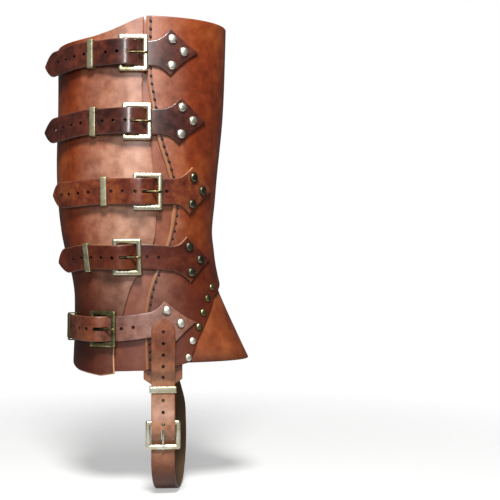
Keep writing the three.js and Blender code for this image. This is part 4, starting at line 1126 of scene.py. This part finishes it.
# Gusset: a strip under both edges of the closure.
gusset = {"lapBack": 24, "lapFront": 5.5, "inset": 2, "columns": 40, "rows": 120}


def gussetPoint(i, j):
    share = j / gusset["rows"]
    middle = legForm["height"] * share
    perDegree = lengthPerDegree(0, middle, 0)
    start = calfTurn(middle) - gusset["lapBack"] / perDegree
    turn = mix(start, seamTurn(middle) + gusset["lapFront"] / perDegree, i / gusset["columns"])
    bottom = legForm["height"] * readRows(rimRows, 2, turn, False) + gusset["inset"]
    top = legForm["height"] * readRows(rimRows, 1, turn, False) - gusset["inset"]
    return wrap(turn, mix(bottom, top, share), leather["under"])


gussetPanel = leatherPiece("gussetPanel", gusset["columns"], gusset["rows"], gussetPoint, leather["under"],
                           [gussetLeather, fleshSide, tanEdge, holeShade])
smooth(gussetPanel)
finishPiece(gussetPanel, "panel_leather", "gusset_panel")

# Flap, and the height of its upper edge by degrees from the shin's midline.
flap = {"bottom": 0.036, "columnSpacing": 1.6, "rowSpacing": 2.2, "tall": 90}
flapRows = [(0, 0.305), (29.5, 0.262), (42.5, 0.215), (52, 0.158), (60.6, 0.112), (68, 0.07)]
flapReach = flapRows[-1][0]
flapTurns = [place - flapReach for place in edgedPlaces(2 * flapReach, flap["columnSpacing"])]
flapUps = [place / flap["tall"] for place in edgedPlaces(flap["tall"], flap["rowSpacing"])]


def flapPoint(i, j):
    away = flapTurns[i]
    top = readRows(flapRows, 1, abs(away), False)
    z = legForm["height"] * mix(flap["bottom"], top, flapUps[j])
    return wrap(shinDirection + away, z, leather["under"])


instepFlap = leatherPiece("instepFlap", len(flapTurns) - 1, len(flapUps) - 1, flapPoint, leather["under"],
                          [flapLeather, fleshSide, tanEdge, holeShade])
cutHoles(instepFlap, flapPins)
smooth(instepFlap)
finishPiece(instepFlap, "flap_leather", "instep_flap")
print("gusset and flap made")

# Stirrup strap and its tab.
stirrup = {"width": 22.5, "firstHole": 11, "drop": 116, "buckle": 56, "keeper": 43, "tail": 57,
           "turn": 14, "innerTurn": 11, "rimRise": 0.55, "rimClear": 0.9, "farSpacing": 1.3, "joinBack": 9,
           "holeReach": 2.4}
tab = {"width": 37, "sewnWidth": 24, "rise": 24, "cover": 11, "shoulder": 3, "waist": 6}

# Far side of the stirrup by share of its drop: shares of the leg's width, sideways shift and twist.
stirrupRows = [
    (0.66, 0.0, 0.0, 0.0), (0.76, 0.02, 0.0, 0.0), (0.86, 0.1, 0.03, 0.0), (0.94, 0.22, 0.08, 0.0),
    (0.985, 0.36, 0.15, 0.1), (0.99, 0.52, 0.22, 0.2), (0.96, 0.67, 0.3, 0.3), (0.88, 0.8, 0.36, 0.45),
    (0.76, 0.89, 0.41, 0.6), (0.62, 0.935, 0.43, 0.7), (0.48, 0.96, 0.42, 0.8), (0.34, 0.98, 0.38, 0.9),
    (0.22, 0.99, 0.24, 1.0), (0.1, 1.0, 0.08, 1.0), (-0.04, 1.0, 0.0, 1.0), (-0.2, 1.0, 0.0, 1.0),
]

# The stirrup's near run hangs plumb from the lower rim, at its own turn round the leg.
rimFrame = legFrame(stirrup["turn"], 0, 0)
stirrupOut = Vector((rimFrame.col[2].x, rimFrame.col[2].y, 0)).normalized()
stirrupAcross = Vector((0, 0, 1)).cross(stirrupOut).normalized()
stirrupOrigin = formPoint(stirrup["turn"], 0)
stirrupSink = chapeBack + leather["chape"] / 2 + layers["gap"] + leather["tab"] / 2


def stirrupPoint(along, across, level, dented=False):
    down = Vector((0, 0, -stirrup["buckle"] - along))
    return stirrupOrigin + down + stirrupAcross * across + stirrupOut * (level - stirrupSink)


def stirrupFrame(along, across, level):
    return frameAt(stirrupPoint(along, across, level), Vector((0, 0, -1)), stirrupAcross)


stirrupBuckle = addBuckle("stirrup", stirrupPoint, stirrupFrame, stirrup["keeper"], stirrup["width"],
                          brass, brass)

rimAt = -stirrup["buckle"]
tabInside = stirrupSink - 2 * layers["gap"] - leather["tab"] / 2
tabBreaks = (-tab["cover"] - tab["shoulder"], -tab["cover"], tab["shoulder"], tab["shoulder"] + tab["waist"])
tabTurns = [(rimAt + place, tabInside) for place in tabBreaks]
chapeTurns = chapePlaces(stirrup["keeper"], rimAt - tab["rise"], tabInside)
tabPath = easedPath(chapeTurns[:1] + tabTurns + chapeTurns[2:], strap["spacing"])


def tabHalf(along):
    coverStart = rimAt - tab["cover"] - tab["shoulder"]
    widening = smoothStep(along, coverStart, coverStart + tab["shoulder"])
    full = mix(tab["sewnWidth"], tab["width"], widening) / 2
    shoulder = rimAt + tab["shoulder"]
    return mix(full, strap["chapeWidth"] / 2, min(max((along - shoulder) / tab["waist"], 0), 1))


stirrupTab = band("stirrupTab", tabPath, leather["chape"], tabHalf, stirrupPoint,
                  [stirrupLeather, fleshSide, darkEdge, holeShade], tab["width"])
cutHoles(stirrupTab, [], [chapeSlot(stirrupBuckle)])
smooth(stirrupTab)
finishPiece(stirrupTab, "strap_leather", "stirrup_tab")

# Tail of the stirrup strap: shares of its length above the rim, and of its step over the spade.
tailRows = [(1, 1), (0.667, 1), (0.456, 0.85), (0.246, 0.12), (0.105, 0)]
overPanel = stirrupSink + panelFace + rivet["headRoom"] + layers["gap"] + leather["strap"] / 2
overRivets = strapFace + 2 * rivet["headRoom"] + layers["gap"] + rivet["dome"]
overSpade = stirrupSink + overRivets + leather["strap"] / 2
onChape = billetOnChape + leather["strap"] / 2
tailTip = rimAt - stirrup["tail"]
nearPlaces = [(rimAt - stirrup["tail"] * rise, mix(overPanel, overSpade, over)) for rise, over in tailRows]
nearPlaces.append((rimAt, mix(overPanel, onChape, stirrup["rimRise"])))
nearPlaces.append((rimAt + buckle["wire"], mix(overPanel, onChape, stirrup["rimClear"])))
nearPath = easedPath(nearPlaces + billetPlaces(stirrup["keeper"]), strap["spacing"])
nearPath = nearPath[:1] + [(tailTip + step, overSpade) for step in strap["tipSteps"]] + nearPath[1:]

# The far run comes round under the foot and up to the inner side of the leg.
innerTurn = 180 - stirrup["innerTurn"]
innerFrame = legFrame(innerTurn, 0, 0)
innerOut = Vector((innerFrame.col[2].x, innerFrame.col[2].y, 0)).normalized()
innerAcross = innerOut.cross(Vector((0, 0, 1))).normalized()
start = stirrupPoint(halfSpan, 0, strapBack + leather["strap"] / 2)
finish = formPoint(innerTurn, 0) + innerOut * (panelInside - 2 * layers["gap"] - leather["strap"] / 2)

stations = []
for along, level in nearPath:
    half = tailHalfWidth(along - tailTip, stirrup["width"])
    stations.append((*stirrupPoint(along, 0, level), *stirrupAcross, half))
route = [stations[-stirrup["joinBack"]], stations[-1]]
for drop, across, shift, twist in stirrupRows:
    x = mix(start.x, finish.x, across) + strap["width"] * shift
    turned = stirrupAcross.lerp(innerAcross, twist).normalized()
    y = mix(start.y, finish.y, across)
    route.append((x, y, -stirrup["drop"] * drop, *turned, stirrup["width"] / 2))
farPath = easedPath(route, strap["spacing"] * stirrup["farSpacing"], 3)
skipped = next(i for i, place in enumerate(farPath) if place[2] < stations[-1][2] - 1)
stations += farPath[skipped:]
acrossShares = acrossPlaces(stirrup["width"])


def stirrupSurface(i, j):
    here = Vector(stations[i][:3])
    way = Vector(stations[min(i + 1, len(stations) - 1)][:3]) - Vector(stations[max(i - 1, 0)][:3])
    out = way.cross(Vector(stations[i][3:6])).normalized()
    across = out.cross(way).normalized()
    return here + across * stations[i][6] * acrossShares[j] + out * leather["strap"] / 2


stirrupStrap = leatherPiece("stirrupStrap", len(stations) - 1, len(acrossShares) - 1, stirrupSurface,
                            leather["strap"], [stirrupLeather, fleshSide, darkEdge, holeShade])
pins = []
along = -stirrup["firstHole"]
while along > tailTip + strap["tail"] / 2:
    if abs(along + stirrup["keeper"]) > (keeper["width"] + strap["holeWidth"]) / 2:
        seat = stirrupFrame(along, 0, levelOn(nearPath, along))
        pins.append(pinAt(seat, strap["holeWidth"], leather["strap"] * stirrup["holeReach"]))
    along -= strap["holePitch"]
cutHoles(stirrupStrap, pins, [billetSlot(stirrupBuckle)])
smooth(stirrupStrap)
finishPiece(stirrupStrap, "strap_leather", "stirrup_strap")
print("stirrup made")

# Stitches of the seam: short thick strands of waxed thread, sunk at both ends.
stitch = {"pitch": 7.4, "length": 4.2, "radius": 1.2, "sink": 0.3, "slant": 24, "top": 0.985,
          "bottom": 0.035, "look": 2, "steps": 6, "ends": 0.45}


def stitchAt(at, way, out):
    side = out.cross(way).normalized()
    stations = []
    for step in range(stitch["steps"] + 1):
        share = step / stitch["steps"]
        swell = math.sin(share * math.pi)
        size = stitch["radius"] * mix(stitch["ends"], 1, swell)
        sunk = out * (swell - 1) * stitch["radius"]
        stations.append((at + way * stitch["length"] * (share - 0.5) + sunk, side, out, size))
    return rod("stitch", stations, thread, 8)


seamStitches = []
slant = math.radians(stitch["slant"])
seamLevel = panelFace + stitch["sink"]
z = legForm["height"] * stitch["top"]
while z > legForm["height"] * stitch["bottom"]:
    matrix = legFrame(seamTurn(z), z, seamLevel)
    lower = z - stitch["look"]
    way = (legFrame(seamTurn(lower), lower, seamLevel).translation - matrix.translation).normalized()
    out = matrix.col[2].xyz
    slanted = way * math.cos(slant) + out.cross(way) * math.sin(slant)
    seamStitches.append(stitchAt(matrix.translation, slanted.normalized(), out))
    z -= stitch["pitch"] * abs(way.z)
seam = joinPieces("seamStitches", seamStitches)
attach(seam, "root")
print("stitches made")

# Stage: a pale matt floor that thins out to the white round it, so that no horizon shows, and a
# white room behind, seen as white and shining more weakly on the leather.
stage = {"floor": -0.1175, "radius": 0.8, "colour": "F6F6F4", "rough": 0.9, "fadeFrom": 0.15, "fadeTo": 0.7,
         "cover": 0.6, "ambient": 0.1}
lights = {
    "key": {"at": (0.1, -1.0, 1.15), "size": 0.36, "power": 34},
    "front": {"at": (0.03, -1.7, 0.52), "size": 0.45, "power": 11},
}
lightTarget = (0, 0, 0.2)
view = {"at": (0.11, -1.0, 0.12), "lens": 72, "sensor": 36}

deselectAll()
bpy.ops.mesh.primitive_circle_add(vertices=96, radius=stage["radius"], fill_type="NGON",
                                  location=(0, 0, stage["floor"]))
floor = takeActive("floor")
floorMaterial, tree, coords = startMaterial("pale matt floor")[:3]
far = addNode(tree, "VectorMath", (coords,), {"operation": "LENGTH"}, "Value")
alpha = addNode(tree, "MapRange", (far, stage["fadeFrom"], stage["fadeTo"], stage["cover"], 0))
finishMaterial(floorMaterial, {
    "Base Color": paint(stage["colour"]), "Roughness": stage["rough"], "Alpha": alpha})
floor.data.materials.append(floorMaterial)

world = bpy.data.worlds.new("studio")
world.use_nodes = True
tree = world.node_tree
seen = addNode(tree, "LightPath", output="Is Camera Ray")
background = tree.nodes["Background"]
background.inputs["Color"].default_value = (1, 1, 1, 1)
feed(tree, addNode(tree, "MapRange", (seen, 0, 1, stage["ambient"], 1)), background.inputs["Strength"])
bpy.context.scene.world = world

for name, row in lights.items():
    lamp = bpy.data.lights.new(name, "AREA")
    lamp.shape = "DISK"
    lamp.size = row["size"]
    lamp.energy = row["power"]
    light = bpy.data.objects.new(name, lamp)
    light.location = row["at"]
    light.rotation_euler = (Vector(lightTarget) - Vector(row["at"])).to_track_quat("-Z", "Y").to_euler()
    bpy.context.collection.objects.link(light)

camera = bpy.data.objects.new("camera", bpy.data.cameras.new("camera"))
bpy.context.collection.objects.link(camera)
camera.location = view["at"]
camera.rotation_euler = (math.pi / 2, 0, 0)
camera.data.lens = view["lens"]
camera.data.sensor_width = view["sensor"]
bpy.context.scene.camera = camera
bpy.context.scene.view_settings.view_transform = "Standard"
print("stage made")
